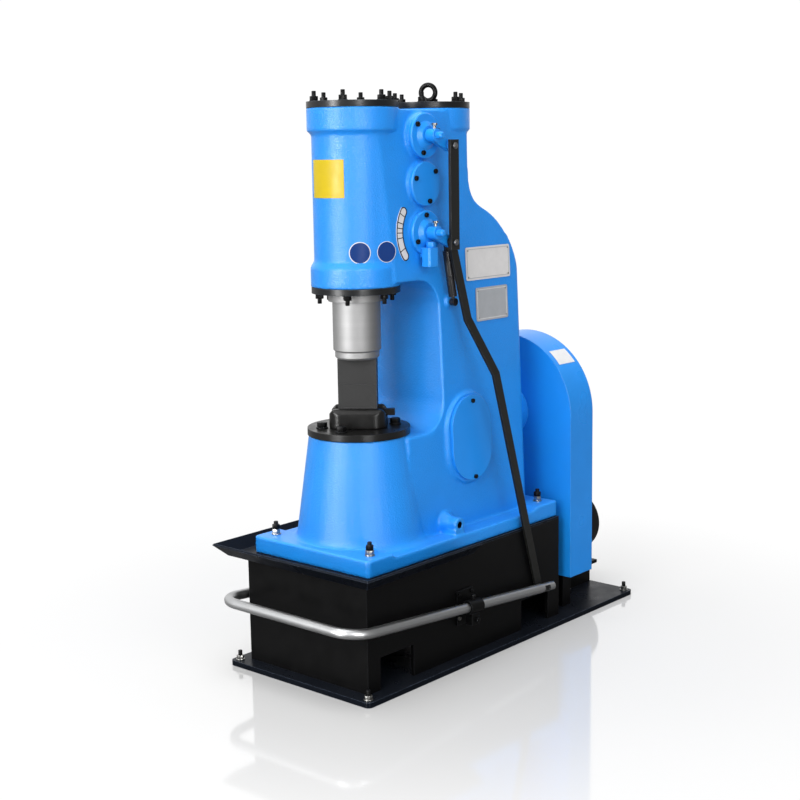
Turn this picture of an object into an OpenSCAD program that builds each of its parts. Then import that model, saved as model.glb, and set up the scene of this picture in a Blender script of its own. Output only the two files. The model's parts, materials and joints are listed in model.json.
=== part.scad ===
// Pneumatic forging hammer: a one-piece C-frame casting on a welded base,
// with a ram, valve linkage, foot treadle and belt drive.
// Millimetres. +Z up, -Y to the operator, +X to the linkage side.
// The origin is the centre of the base plate's underside.

/* [Base] */
// Width of the base plate
plate_w = 510; // [460:1:640]
// Length of the base plate
plate_l = 1212; // [1100:1:1400]
// Thickness of the base plate
plate_t = 14; // [8:1:25]
// Corner radius of the base plate
plate_r = 14; // [4:1:40]
// Radius of the anchor holes
anchor_r = 7; // [6:0.5:14]
// Anchor hole distance from the plate's edges
anchor_edge = 20; // [18:1:32]
// Width of the welded pedestal
ped_w = 430; // [400:1:440]
// Front face of the pedestal
ped_front = -564; // [-580:1:-555]
// Rear face of the pedestal
ped_rear = 265; // [255:1:285]
// Height of the pedestal
ped_h = 291; // [240:1:360]
// Sheet thickness of the pedestal
ped_t = 10; // [6:1:16]
// Width of the fork pockets
pocket_w = 130; // [100:1:160]
// Height of the fork pockets
pocket_h = 86; // [60:1:88]
// Centre of the front fork pocket
pocket_front = -452; // [-470:1:-430]
// Centre of the rear fork pocket
pocket_rear = 146; // [130:1:160]

/* [Drip tray] */
// Sheet thickness of the tray
tray_t = 6; // [3:0.5:8]
// Overhang of the tray floor past the pedestal
tray_over = 37; // [20:1:45]
// Height of the flared lip
lip_h = 29; // [20:1:40]
// Rear end of the lips
lip_rear = -180; // [-230:1:-160]

/* [Casting foot] */
// Half width of the foot flange
foot_half = 208; // [202:1:210]
// Front edge of the foot flange
foot_front = -547; // [-555:1:-540]
// Rear edge of the foot flange
foot_rear = 270; // [255:1:280]
// Corner radius of the foot flange
foot_r = 12; // [6:1:30]
// Height of the foot ledge
ledge_h = 35; // [25:1:50]
// Height of the raised ends above the ledge
pad_up = 10; // [4:1:16]
// Length of the raised ends
pad_side = 92; // [70:1:110]
// Slope of the front raised end, front to back
ramp_front = 12; // [4:1:30]
// Slope of the rear raised end, front to back
ramp_rear = 34; // [10:1:50]
// Height of the sweep at the foot of the anvil cone
toe_h = 24; // [14:1:32]
// Width of the sweep at the foot of the anvil cone
toe_w = 20; // [10:1:24]
// Radius of the side lug
lug_r = 20; // [14:1:26]
// Radius of the side lug's hole
lug_hole_r = 9; // [5:1:12]
// Radius of the side lug's flared root
lug_root_r = 33; // [24:1:38]
// Length of the side lug's flared root
lug_root_l = 24; // [10:1:34]
// Distance of the side lug in front of the throat's back wall
lug_in = 17; // [10:1:24]
// Height of the side lug above the casting's seat
lug_up = 62; // [56:1:70]

/* [Column and arm] */
// Half width of the column at the seat
side_low = 152; // [145:1:160]
// Half width of the arm at the top flange
side_high = 106; // [103:1:110]
// Rear wall of the column
rear_y = 203; // [195:1:215]
// Radius of the column's rear edges
edge_r = 20; // [10:1:30]
// Radius of the rear shoulder
hump_r = 253; // [235:1:265]
// Height where the rear shoulder starts
hump_z = 973; // [950:1:990]
// Height where the neck is upright
neck_z = 1290; // [1275:1:1305]
// Place of the upright neck
neck_y = -12; // [-20:1:0]
// Front of the column under the throat
col_front = -308; // [-330:1:-290]
// Angle at which the arm's sides run into the ram housing
blend_a = 20; // [16:1:26]
// Back wall of the throat
throat_y = -158; // [-170:1:-150]
// Corner radius of the throat
throat_r = 78; // [50:1:100]
// Floor of the throat above the casting's seat
throat_low = 314; // [300:1:316]
// Underside of the arm
arm_low = 1030; // [1026:1:1040]
// Top of the arm below the cylinder flanges
arm_drop = 6; // [3:1:12]

/* [Cylinders] */
// Axis of the ram, front to back
ram_y = -348; // [-356:1:-340]
// Axis of the compressor, front to back
comp_y = -46; // [-52:1:-40]
// Radius of the ram housing
house_r = 107; // [104:1:110]
// Radius of the ram housing's flanges
flange_r = 118; // [114:1:122]
// Radius of the compressor housing
comp_r = 104; // [100:1:108]
// Radius of the compressor flange
comp_flange_r = 112; // [109:1:116]
// Lower face of the ram housing
house_low = 1020; // [1012:1:1024]
// Height of the ram housing's lower flange
low_flange_h = 58; // [40:1:66]
// Top face of both cylinders
house_top = 1476; // [1466:1:1490]
// Height of the top flanges
top_flange_h = 58; // [40:1:66]
// Radius of the working bore
bore_r = 66; // [65:0.5:70]
// Radius of the compressor bore
comp_bore_r = 75; // [65:1:80]
// Floor of the compressor bore
comp_bore_low = 1240; // [1220:1:1280]
// Thickness of the round covers
cover_t = 16; // [10:1:22]
// Tube radius of the lifting eye
eye_t = 6.5; // [5:0.5:8]
// Ring radius of the lifting eye
eye_r = 20.5; // [18:0.5:24]
// Turn of the lifting eye
eye_turn = 20; // [0:1:90]
// Radius of the lifting eye's boss
eye_boss_r = 13; // [10:1:18]
// Height of the lifting eye's boss
eye_boss_h = 8; // [5:1:12]

/* [Ram and dies] */
// Radius of the ram
ram_r = 63; // [60:0.5:64]
// Running clearance round the ram and the strut rod
ram_clear = 0.3; // [0.2:0.1:0.5]
// Outer radius of the gland
gland_r = 73.5; // [70:0.5:78]
// Height of the gland
gland_h = 22; // [14:1:28]
// Radius of the ram's nose
nose_r = 58.5; // [58:0.5:60]
// Height of the ram's nose
nose_h = 24; // [16:1:30]
// Chamfer of the ram's nose
nose_ch = 5; // [2:0.5:8]
// Length of the ram
ram_l = 410; // [380:1:430]
// Radius of the ram's inner cavity
cavity_r = 40; // [30:1:46]
// Height of the ram's solid end
ram_solid = 80; // [60:1:120]
// Length of the die faces
die_l = 102; // [96:1:102]
// Width of the die faces
die_w = 52; // [48:1:54]
// Height of the upper die
upper_die_h = 66; // [56:1:72]
// Height of the lower die
lower_die_h = 64; // [56:1:70]
// Gap left between the resting dies
die_gap = 0.3; // [0.2:0.1:0.6]
// Turn of the dies about the ram axis
die_turn = 38; // [0:1:60]
// Width of the die's tail
tail_w = 41; // [34:1:44]
// Depth of the die's tail
tail_h = 26; // [18:1:30]
// Width of the wedge key
key_w = 18; // [14:1:20]
// Depth of the key below the holder's top
key_drop = 9; // [2:1:12]
// Length that the key stands out
key_out = 19; // [12:1:40]
// Distance of the key's inner end from the holder's end
key_in = 10; // [6:1:16]
// Length of the die holder
holder_l = 152; // [140:1:160]
// Width of the die holder
holder_w = 116; // [104:1:126]
// Height of the die holder
holder_h = 52; // [44:1:58]
// Corner radius of the die holder
holder_r = 34; // [20:1:44]
// Chamfer of the die holder's top
holder_ch = 13; // [4:1:18]
// Radius of the anvil plate
anvil_plate_r = 136.5; // [134:0.5:140]
// Thickness of the anvil plate
anvil_plate_t = 18; // [12:1:24]
// Height of the anvil cone's top above the throat's floor
anvil_up = 5; // [3:1:8]
// Radius of the anvil cone's top
cone_top_r = 133; // [128:1:133]
// Radius of the anvil cone's foot
cone_foot_r = 170; // [160:1:176]

/* [Valves] */
// Axis of the valves, front to back
valve_y = -210; // [-214:1:-206]
// Height of the lower valve
valve_low_z = 1154; // [1148:1:1160]
// Height of the blank cover
valve_mid_z = 1280; // [1276:1:1284]
// Height of the upper valve
valve_high_z = 1403; // [1398:1:1406]
// Height of the valve bosses above the casting's side
boss_up = 0.5; // [0.3:0.1:3]
// Radius of the valve covers
valve_r = 58; // [54:1:60]
// Thickness of the valve covers
valve_t = 10; // [8:1:12]
// Radius of the spindle bosses
boss_r = 25; // [22:1:30]
// Height of the spindle bosses
boss_h = 9; // [6:1:10]
// Radius of the spindle bosses' flared root
boss_root_r = 37; // [32:1:38]
// Chamfer of the valve covers
valve_ch = 2.5; // [1:0.5:4]
// Radius of the spindles
spindle_r = 9; // [7:0.5:11]
// Running clearance of pins and spindles
pin_clear = 0.08; // [0.05:0.01:0.1]
// Width of the exhaust outlet, front to back
outlet_w = 36; // [30:1:42]
// Depth of the exhaust outlet, side to side
outlet_d = 31; // [28:1:36]
// Height of the exhaust outlet
outlet_h = 49; // [42:1:56]
// Corner radius of the exhaust outlet
outlet_cr = 6; // [2:1:10]
// Bore radius of the exhaust outlet
outlet_bore = 11; // [8:0.5:12]
// Depth of the exhaust outlet's bore
outlet_deep = 30; // [20:1:36]
// Offset of the exhaust outlet in front of the valve's axis
outlet_off = 8.5; // [4:0.5:12]

/* [Linkage] */
// Reach of the valve levers, front to back
lever_dy = 57; // [54:1:60]
// Drop of the lever pins below the spindles
lever_drop = 27; // [25:1:29]
// Radius of the lever hubs
hub_r = 17; // [15:1:20]
// Width of the lever hubs
hub_w = 28; // [26:1:30]
// Length of the spindle past the hub
nose_l = 18; // [12:1:24]
// Thickness of the lever arms
arm_t = 12; // [10:1:13]
// Radius of the lever arms' ends
lever_end_r = 14; // [12:0.5:16]
// Radius of the linkage pins
pin_r = 6; // [5:0.5:7]
// Radius of the pin heads
head_r = 8; // [7:0.5:10]
// Thickness of the pin heads
head_t = 3; // [2:0.5:5]
// Radius of the spacer and the strut's eye round a pin
pin_eye_r = 11; // [9.5:0.5:12]
// Side gap between linked bars
bar_gap = 1; // [0.6:0.1:1.5]
// Thickness of the bars
bar_t = 8; // [6:0.5:9]
// Width of the link bar
link_w = 34; // [30:1:38]
// Width of the treadle rod
rod_w = 26; // [24:1:30]
// Gap between the pedestal and the rod's lower part
rod_gap = 5; // [4:0.5:7]
// Start of the rod's bend below its top pin
bend_start = 218; // [200:1:240]
// End of the rod's bend below its top pin
bend_end = 374; // [350:1:400]
// Radius of the strut tube
strut_r = 11.5; // [9:0.5:12]
// Radius of the strut rod
strut_rod_r = 4.5; // [4:0.5:6]
// Thickness of the strut tube's flat eye
strut_eye_t = 6; // [5:0.5:7]
// Distance from the top pin to the strut tube
strut_top = 24; // [20:1:28]
// Length of strut rod that shows at rest
strut_show = 16; // [12:1:24]
// Distance from the top pin to the strut rod's inner end
rod_top = 40; // [36:1:46]
// Radius of the strut rod's eye
rod_eye_r = 10.5; // [9:0.5:12]
// Width of the strut rod's eye
rod_eye_w = 14; // [12:1:16]
// Radius of the strut stud
stud_r = 6; // [5:0.5:7]
// Radius of the casting's boss under the strut stud
stud_boss_r = 15; // [12:1:18]
// Height of the casting's boss under the strut stud
stud_boss_h = 8; // [5:1:12]
// Strut foot, front to back
foot_y = -122; // [-126:1:-118]
// Strut foot height
foot_z = 966; // [960:1:972]
// Mean thickness of the index plate
index_t = 2; // [1:0.5:3]
// Outer radius of the index plate
index_r = 109; // [104:1:112]
// Width of the index plate
index_w = 25; // [20:1:28]
// Half angle of the index plate between its round ends
index_a = 36; // [30:1:38]

/* [Treadle] */
// Pivot of the treadle, front to back
pivot_y = -180; // [-190:1:-170]
// Pivot height of the treadle
pivot_z = 157; // [150:1:165]
// Distance from the pedestal's side to the axis of the treadle pipe
tread_gap = 33; // [32:0.5:36]
// Radius of the treadle pipe
pipe_r = 13.5; // [12:0.5:15]
// Wall of the treadle pipe
pipe_t = 2.6; // [2:0.1:3.5]
// Bend radius of the treadle pipe
bend_r = 70; // [50:1:90]
// Distance from the pivot to the foot bar
tread_reach = 467; // [455:1:480]
// Distance from the pivot to the rod pin
tread_arm = 331; // [325:1:337]
// Length of the slotted end piece
plug_l = 57; // [50:1:64]
// Outer radius of the pivot clamps
clamp_r = 19.5; // [18:0.5:21]
// Length of the pivot clamps
clamp_l = 54; // [44:1:60]
// Depth of the clamps' ears below the pivot
ear_h = 49; // [40:1:54]
// Length of the clamps' ears
ear_l = 30; // [22:1:40]
// Thickness of the clamps' ears
ear_t = 22; // [16:1:26]
// Thickness of the pivot bracket
bracket_t = 6; // [4:0.5:6]
// Width of the pivot bracket
bracket_w = 68; // [60:1:80]
// Depth of the pivot bracket below the pivot
bracket_down = 52; // [44:1:60]
// Height of the pivot bracket above the pivot
bracket_up = 42; // [36:1:50]
// Free run of the rod pin along the treadle's slot
slot_run = 6.5; // [6:0.5:8]
// Free play of the rod pin across the treadle's slot
slot_play = 1.8; // [1.5:0.1:2.4]

/* [Drive] */
// Front face of the belt guard
guard_front = 305; // [300:1:312]
// Depth of the belt guard
guard_d = 112; // [100:1:120]
// Half width of the belt guard
guard_half = 229; // [215:1:235]
// Height of the crankshaft
crank_z = 598; // [590:1:606]
// Underside of the belt guard
guard_low = 118; // [112:1:124]
// Sheet thickness of the guard
guard_t = 3; // [2:0.5:5]
// Radius of the rear bearing boss
bearing_r = 78; // [60:1:90]
// Width of the guard's feet
guard_foot_w = 40; // [30:1:50]
// Distance of the guard's feet from its middle
guard_foot_x = 165; // [150:1:180]
// Distance of the guard's feet from its front face
guard_foot_in = 25; // [15:1:35]
// Radius of the motor's fins
motor_r = 95; // [88:1:97]
// Radius of the motor's barrel
barrel_r = 84; // [78:1:86]
// Height of the motor axis
motor_z = 188; // [186:1:192]
// Length of the motor barrel
barrel_l = 183; // [170:1:200]
// Number of cooling fins
fin_n = 28; // [20:1:32]
// Thickness of the cooling fins
fin_t = 4; // [3:0.5:5]
// Distance of the motor's feet from its axis
motor_foot_x = 70; // [60:1:78]
// Width of the motor's feet
motor_foot_w = 36; // [28:1:44]
// Height of the motor's feet
motor_foot_h = 46; // [40:1:52]
// Length of the fan cowl
cowl_l = 72; // [60:1:90]
// Chamfer of the fan cowl
cowl_ch = 12; // [6:1:16]
// Radius of the cowl's innermost air ring
ring_r = 18; // [14:1:20]
// Spacing of the cowl's air rings
ring_step = 14; // [13:1:15]
// Width of the cowl's air rings
ring_w = 7; // [5:0.5:8]
// Depth of the cowl's air rings
ring_deep = 4; // [3:0.5:6]
// Width of the terminal box
term_w = 92; // [80:1:100]
// Length of the terminal box
term_l = 90; // [80:1:100]
// Height of the terminal box's lid above the motor axis
term_up = 138; // [130:1:146]
// Distance of the terminal box behind the guard
term_in = 54; // [44:1:60]
// Half width of the motor stand
stand_half = 124; // [110:1:130]
// Height of the motor stand above the base plate
stand_h = 74; // [70:1:76]
// Thickness of the motor stand's top and legs
stand_t = 10; // [8:1:12]
// Distance of the motor stand's legs from its middle
leg_x = 95; // [85:1:105]

/* [Access cover] */
// Centre of the cover, front to back
access_y = -62; // [-68:1:-56]
// Height of the cover's centre above the casting's seat
access_up = 278; // [272:1:284]
// End radius of the cover's pad
access_r = 96; // [90:1:98]
// Half length of the pad's straight sides
access_half = 29; // [20:1:36]
// Height of the pad
access_pad = 10; // [6:1:14]
// Thickness of the cover
access_t = 8; // [5:1:12]
// Rim of the pad left round the cover
access_rim = 12; // [8:1:16]

/* [Hidden] */
$fn = 96;

ped_top = plate_t + ped_h;
base_half = max(ped_w / 2, foot_half);
tread_half = base_half + tread_gap;
seat_z = ped_top + tray_t;
ledge_z = seat_z + ledge_h;
access_z = seat_z + access_up;
pad_z = ledge_z + pad_up;
lug_y = throat_y - lug_in;
lug_z = seat_z + lug_up;
throat_z = seat_z + throat_low;
anvil_z = throat_z + anvil_up;
plate_z = anvil_z + anvil_plate_t;
holder_z = plate_z + holder_h;
die_z = holder_z + lower_die_h;
upper_z = die_z + die_gap;
ram_z = upper_z + upper_die_h;
flange_z = house_top - top_flange_h;
arm_top = house_top - arm_drop;
cover_z = house_top + cover_t;
gland_z = house_low - cover_t - gland_h;
side_slope = (side_low - side_high) / (flange_z - seat_z);
side_tilt = atan(side_slope);
hump_y = rear_y - hump_r;
neck_a = neck_y - hump_y;
neck_h = neck_z - hump_z;
neck_r = (neck_a * neck_a + neck_h * neck_h - hump_r * hump_r) / (2 * (hump_r - neck_a));
turn_y = hump_y + hump_r * (neck_a + neck_r) / (hump_r + neck_r);
turn_z = hump_z + hump_r * neck_h / (hump_r + neck_r);
blend_x = (house_r - 0.6) * cos(blend_a);
blend_y = ram_y - (house_r - 0.6) * sin(blend_a);
blend_l = (side(arm_low) + 1 - blend_x) / tan(blend_a);
arm_y = blend_y + blend_l;
valve_face = ceil((side(valve_low_z - valve_r) + boss_up) * 10) / 10;
valve_front = valve_face + valve_t;
boss_front = valve_front + boss_h;
hub_x = boss_front + bar_gap;
arm_x = hub_x + (hub_w - arm_t) / 2;
rod_x = arm_x + arm_t + bar_gap;
rod_out = base_half + rod_gap - rod_x;
link_x = rod_x + bar_t + bar_gap;
pin_end = link_x + bar_t + bar_gap;
pin_y = valve_y + lever_dy;
pin_low_z = valve_low_z - lever_drop;
pin_high_z = valve_high_z - lever_drop;
lever_l = sqrt(lever_dy * lever_dy + lever_drop * lever_drop);
lever_a = -atan(lever_drop / lever_dy);
tread_a = asin(lever_drop / tread_arm);
rod_foot_y = pivot_y + tread_arm * cos(tread_a);
rod_foot_z = pivot_z - tread_arm * sin(tread_a);
rod_dy = rod_foot_y - pin_y;
rod_dz = pin_low_z - rod_foot_z;
rod_l = sqrt(rod_dy * rod_dy + rod_dz * rod_dz);
rod_a = atan(rod_dy / rod_dz);
strut_eye = arm_x - bar_gap - strut_eye_t;
strut_x = strut_eye + strut_eye_t / 2;
strut_dy = foot_y - pin_y;
strut_dz = pin_low_z - foot_z;
strut_l = sqrt(strut_dy * strut_dy + strut_dz * strut_dz);
strut_a = atan(strut_dy / strut_dz);
stud_face = side(foot_z) + stud_boss_h;
guard_rear = guard_front + guard_d;
motor_end = guard_rear + barrel_l;
stand_z = plate_t + stand_h;

// Half width of the casting's tapered sides at a height
function side(z) = side_low - (z - seat_z) * side_slope;

module box(x0, x1, y0, y1, z0, z1) {
  translate([x0, y0, z0]) cube([x1 - x0, y1 - y0, z1 - z0]);
}

module xcyl(x0, x1, r, y, z) {
  translate([x0, y, z]) rotate([0, 90, 0]) cylinder(r = r, h = x1 - x0);
}

module ycyl(y0, y1, r, x, z) {
  translate([x, y0, z]) rotate([-90, 0, 0]) cylinder(r = r, h = y1 - y0);
}

// Cone along X from one radius to another
module xcone(x0, x1, r0, r1, y, z) {
  translate([x0, y, z]) rotate([0, 90, 0]) cylinder(r1 = r0, r2 = r1, h = x1 - x0);
}

module zcyl(z0, z1, r, x, y) {
  translate([x, y, z0]) cylinder(r = r, h = z1 - z0);
}

// Draws a front-to-back profile and pulls it along X
module along_x(x0, x1) {
  translate([x0, 0, 0]) rotate([90, 0, 90]) linear_extrude(height = x1 - x0) children();
}

// Draws a side-to-side profile and pulls it along Y
module along_y(y0, y1) {
  translate([0, y1, 0]) rotate([90, 0, 0]) linear_extrude(height = y1 - y0) children();
}

// Rectangle with round corners between two corners
module round_rect(x0, x1, y0, y1, r) {
  translate([x0 + r, y0]) square([x1 - x0 - 2 * r, y1 - y0]);
  translate([x0, y0 + r]) square([x1 - x0, y1 - y0 - 2 * r]);
  for (x = [x0 + r, x1 - r])
    for (y = [y0 + r, y1 - r])
      translate([x, y]) circle(r = r);
}

// Upright stadium round a centre
module stadium(y, z, r, half) {
  translate([y - r, z - half]) square([2 * r, 2 * half]);
  for (s = [-1, 1])
    translate([y, z + s * half]) circle(r = r);
}

// Sets a piece on the sloping right side at a height
module on_side(z) {
  translate([side(z), 0, z]) rotate([0, -side_tilt, 0]) children();
}

// Sets a piece in the turned frame of the dies
module die_frame(z) {
  translate([0, ram_y, z]) rotate([0, 0, die_turn]) children();
}

module base_plate() {
  color("#26282b")
  difference() {
    linear_extrude(height = plate_t)
      round_rect(-plate_w / 2, plate_w / 2, -plate_l / 2, plate_l / 2, plate_r);
    for (x = [-1, 1])
      for (y = [-1, 1])
        zcyl(-1, plate_t + 1, anchor_r, x * (plate_w / 2 - anchor_edge),
          y * (plate_l / 2 - anchor_edge));
  }
}

module pedestal() {
  color("#1b1c1e")
  difference() {
    box(-ped_w / 2, ped_w / 2, ped_front, ped_rear, plate_t, ped_top);
    box(-ped_w / 2 + ped_t, ped_w / 2 - ped_t, ped_front + ped_t, ped_rear - ped_t,
      plate_t - 1, ped_top - ped_t);
    for (y = [pocket_front, pocket_rear])
      box(-ped_w, ped_w, y - pocket_w / 2, y + pocket_w / 2, plate_t - 1,
        plate_t + pocket_h);
  }
}

// Flared lip section, drawn outward from the floor's edge
module lip_section(x) {
  polygon([[x, ped_top], [x + lip_h + 1, ped_top + lip_h + 1],
    [x + lip_h + 1 - tray_t * 0.7, ped_top + lip_h + 1 + tray_t * 0.7],
    [x - tray_t * 0.4, ped_top + tray_t], [x - tray_t * 0.4, ped_top]]);
}

module drip_tray() {
  tx = ped_w / 2 + tray_over;
  ty = ped_front - tray_over;
  color("#17181a") {
    box(-tx, tx, ty, lip_rear, ped_top, seat_z);
    box(-ped_w / 2, ped_w / 2, lip_rear - 1, ped_rear, ped_top, seat_z);
    for (s = [0, 1])
      mirror([s, 0, 0])
        intersection() {
          along_y(ty - 2 * lip_h, lip_rear) lip_section(tx);
          translate([tx, ty, ped_top - 1]) rotate([0, 0, -45])
            translate([-900, 0, 0]) cube([1200, 900, 80]);
        }
    intersection() {
      translate([0, ty, 0]) mirror([0, 1, 0])
        along_x(-tx - 2 * lip_h, tx + 2 * lip_h) lip_section(0);
      translate([0, 0, ped_top - 1]) linear_extrude(height = 80)
        polygon([[-tx, ty], [-tx + 20, ty + 20], [tx - 20, ty + 20], [tx, ty],
          [tx + 80, ty - 80], [-tx - 80, ty - 80]]);
    }
  }
}

// Side view of the column and arm with the throat cut in
module c_profile() {
  difference() {
    union() {
      translate([col_front, seat_z + 10])
        square([rear_y - col_front, hump_z - seat_z - 10]);
      difference() {
        union() {
          intersection() {
            translate([hump_y, hump_z]) circle(r = hump_r, $fn = 200);
            translate([arm_y, hump_z - 1]) square([rear_y - arm_y, neck_z - hump_z]);
          }
          translate([neck_y - 1, turn_z - 60])
            square([turn_y - neck_y + 1, neck_z - turn_z + 60]);
        }
        translate([neck_y + neck_r, neck_z]) circle(r = neck_r + 0.15, $fn = 120);
      }
      translate([arm_y, hump_z - 1]) square([neck_y - arm_y, arm_top - hump_z + 1]);
    }
    translate([ram_y - 400, throat_z])
      square([throat_y - throat_r - ram_y + 400, arm_low - throat_z]);
    translate([ram_y - 400, throat_z + throat_r])
      square([throat_y - ram_y + 400, arm_low - throat_z - 2 * throat_r]);
    for (z = [throat_z + throat_r, arm_low - throat_r])
      translate([throat_y - throat_r, z]) circle(r = throat_r);
  }
}

// Front view of the tapered sides
module taper_profile() {
  polygon([[-side(seat_z), seat_z], [side(seat_z), seat_z], [side(arm_top), arm_top],
    [-side(arm_top), arm_top]]);
}

// Rounds one long rear edge along the taper
module edge_cutter() {
  translate([side(seat_z), rear_y, seat_z]) rotate([0, -side_tilt, 0])
    difference() {
      translate([-edge_r, -edge_r, -40]) cube([2 * edge_r, 2 * edge_r, 900]);
      translate([-edge_r, -edge_r, -50]) cylinder(r = edge_r, h = 920);
    }
}

// Plan of the arm where its flat sides run into the round ram housing
module blend_plan() {
  polygon([[-blend_x, blend_y], [blend_x, blend_y],
    [blend_x + blend_l * tan(blend_a), arm_y], [blend_x, arm_y + 20],
    [-blend_x, arm_y + 20], [-blend_x - blend_l * tan(blend_a), arm_y]]);
}

module column() {
  difference() {
    intersection() {
      union() {
        along_x(-side_low, side_low) c_profile();
        translate([0, 0, arm_low]) linear_extrude(height = arm_top - arm_low) blend_plan();
      }
      along_y(ram_y - house_r, rear_y + 10) taper_profile();
    }
    edge_cutter();
    mirror([1, 0, 0]) edge_cutter();
  }
}

// Side view of the foot with its raised ends
module foot_profile() {
  polygon([[foot_front - 1, seat_z], [foot_front - 1, pad_z], [foot_front + pad_side, pad_z],
    [foot_front + pad_side + ramp_front, ledge_z],
    [foot_rear - pad_side - ramp_rear, ledge_z], [foot_rear - pad_side, pad_z],
    [foot_rear + 1, pad_z], [foot_rear + 1, seat_z]]);
}

module foot() {
  intersection() {
    translate([0, 0, seat_z]) linear_extrude(height = ledge_h + pad_up + 1)
      round_rect(-foot_half, foot_half, foot_front, foot_rear, foot_r);
    along_x(-foot_half - 1, foot_half + 1) foot_profile();
  }
}

module anvil_cone() {
  translate([0, ram_y, 0]) rotate_extrude()
    polygon([[0, seat_z + 5], [cone_foot_r + toe_w, seat_z + 5],
      [cone_foot_r + toe_w, ledge_z], [cone_foot_r + toe_w * 0.5, ledge_z + toe_h * 0.22],
      [cone_foot_r + toe_w * 0.2, ledge_z + toe_h * 0.5], [cone_foot_r, ledge_z + toe_h],
      [cone_top_r, anvil_z], [0, anvil_z]]);
}

module ram_housing() {
  translate([0, ram_y, 0]) rotate_extrude()
    polygon([[0, house_low], [flange_r - 1, house_low],
      [flange_r - 1, house_low + low_flange_h - 8],
      [flange_r - 5, house_low + low_flange_h],
      [house_r, house_low + low_flange_h + 9], [house_r, flange_z - 10],
      [house_r + 5, flange_z - 4], [flange_r, flange_z], [flange_r, house_top],
      [0, house_top]]);
}

module compressor_housing() {
  translate([0, comp_y, 0]) rotate_extrude()
    polygon([[0, hump_z + 150], [comp_r, hump_z + 150], [comp_r, flange_z - 5],
      [comp_flange_r - 2, flange_z], [comp_flange_r, flange_z + 3],
      [comp_flange_r, house_top], [0, house_top]]);
}

module access_pad_shape() {
  on_side(access_z)
    along_x(-12, access_pad) stadium(access_y, 0, access_r, access_half);
}

module hammer_frame() {
  color("#2f8fe0")
  difference() {
    union() {
      foot();
      anvil_cone();
      column();
      ram_housing();
      compressor_housing();
      access_pad_shape();
      for (z = [valve_low_z, valve_mid_z, valve_high_z])
        xcyl(60, valve_face, valve_r, valve_y, z);
      xcyl(-foot_half + 6, foot_half - 6, lug_r, lug_y, lug_z);
      for (s = [0, 1])
        mirror([s, 0, 0])
          xcone(side(seat_z) - 12, side(seat_z) + lug_root_l, lug_root_r, lug_r, lug_y, lug_z);
      xcyl(side(foot_z) - 20, stud_face, stud_boss_r, foot_y, foot_z);
      ycyl(rear_y - 20, guard_front, bearing_r, 0, crank_z);
    }
    zcyl(house_low - 1, house_top + 1, bore_r, 0, ram_y);
    zcyl(comp_bore_low, house_top + 1, comp_bore_r, 0, comp_y);
    for (s = [0, 1])
      mirror([s, 0, 0])
        xcyl(foot_half - 40, foot_half + 1, lug_hole_r, lug_y, lug_z);
  }
}

module cylinder_cover() {
  color("#1b1c1e") zcyl(house_top, cover_z, flange_r, 0, ram_y);
}

module compressor_cover() {
  color("#1b1c1e") zcyl(house_top, cover_z, comp_flange_r, 0, comp_y);
}

module bottom_cover() {
  color("#1b1c1e")
  difference() {
    zcyl(house_low - cover_t, house_low, flange_r - 2, 0, ram_y);
    zcyl(house_low - cover_t - 1, house_low + 1, bore_r, 0, ram_y);
  }
}

module ram_gland() {
  color("#c3c6ca")
  difference() {
    zcyl(gland_z, gland_z + gland_h, gland_r, 0, ram_y);
    zcyl(gland_z - 1, gland_z + gland_h + 1, ram_r + ram_clear, 0, ram_y);
  }
}

module ram() {
  color("#b9bcc0")
  translate([0, ram_y, 0]) rotate_extrude()
    polygon([[0, ram_z], [nose_r - nose_ch, ram_z], [nose_r, ram_z + nose_ch],
      [nose_r, ram_z + nose_h - ram_r + nose_r],
      [ram_r, ram_z + nose_h], [ram_r, ram_z + ram_l], [cavity_r, ram_z + ram_l],
      [cavity_r, ram_z + ram_solid], [0, ram_z + ram_solid]]);
}

module upper_die() {
  color("#3a3c3f")
  die_frame(upper_z) translate([-die_l / 2, -die_w / 2, 0])
    cube([die_l, die_w, upper_die_h]);
}

module lower_die() {
  color("#3a3c3f")
  die_frame(holder_z) {
    translate([-die_l / 2, -die_w / 2, 0]) cube([die_l, die_w, lower_die_h]);
    translate([-die_l / 2, -(tail_w + key_w) / 2, -tail_h]) cube([die_l, tail_w, tail_h + 1]);
  }
}

// Section of the die holder with its chamfered top edges
module holder_section(half) {
  polygon([[-half, 0], [half, 0], [half, holder_h - holder_ch], [half - holder_ch, holder_h],
    [-half + holder_ch, holder_h], [-half, holder_h - holder_ch]]);
}

module die_holder() {
  color("#202225")
  die_frame(plate_z)
    difference() {
      intersection() {
        linear_extrude(height = holder_h)
          round_rect(-holder_l / 2, holder_l / 2, -holder_w / 2, holder_w / 2, holder_r);
        along_y(-holder_w, holder_w) holder_section(holder_l / 2);
        along_x(-holder_l, holder_l) holder_section(holder_w / 2);
      }
      translate([-holder_l, -(tail_w + key_w) / 2, holder_h - tail_h])
        cube([2 * holder_l, tail_w + key_w, tail_h + 1]);
    }
}

module die_key() {
  color("#2a2c2f")
  die_frame(holder_z - tail_h)
    translate([-holder_l / 2 + key_in, (tail_w - key_w) / 2, 0])
      cube([holder_l - key_in + key_out, key_w, tail_h - key_drop]);
}

module anvil_plate() {
  color("#232528") zcyl(anvil_z, plate_z, anvil_plate_r, 0, ram_y);
}

module lifting_eye() {
  ez = cover_z + eye_r + eye_t;
  color("#1b1c1e") {
    zcyl(cover_z, cover_z + eye_boss_h, eye_boss_r, 0, comp_y);
    translate([0, comp_y, ez]) rotate([0, 0, eye_turn]) rotate([90, 0, 0])
      rotate_extrude() translate([eye_r, 0]) circle(r = eye_t, $fn = 32);
  }
}

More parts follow.
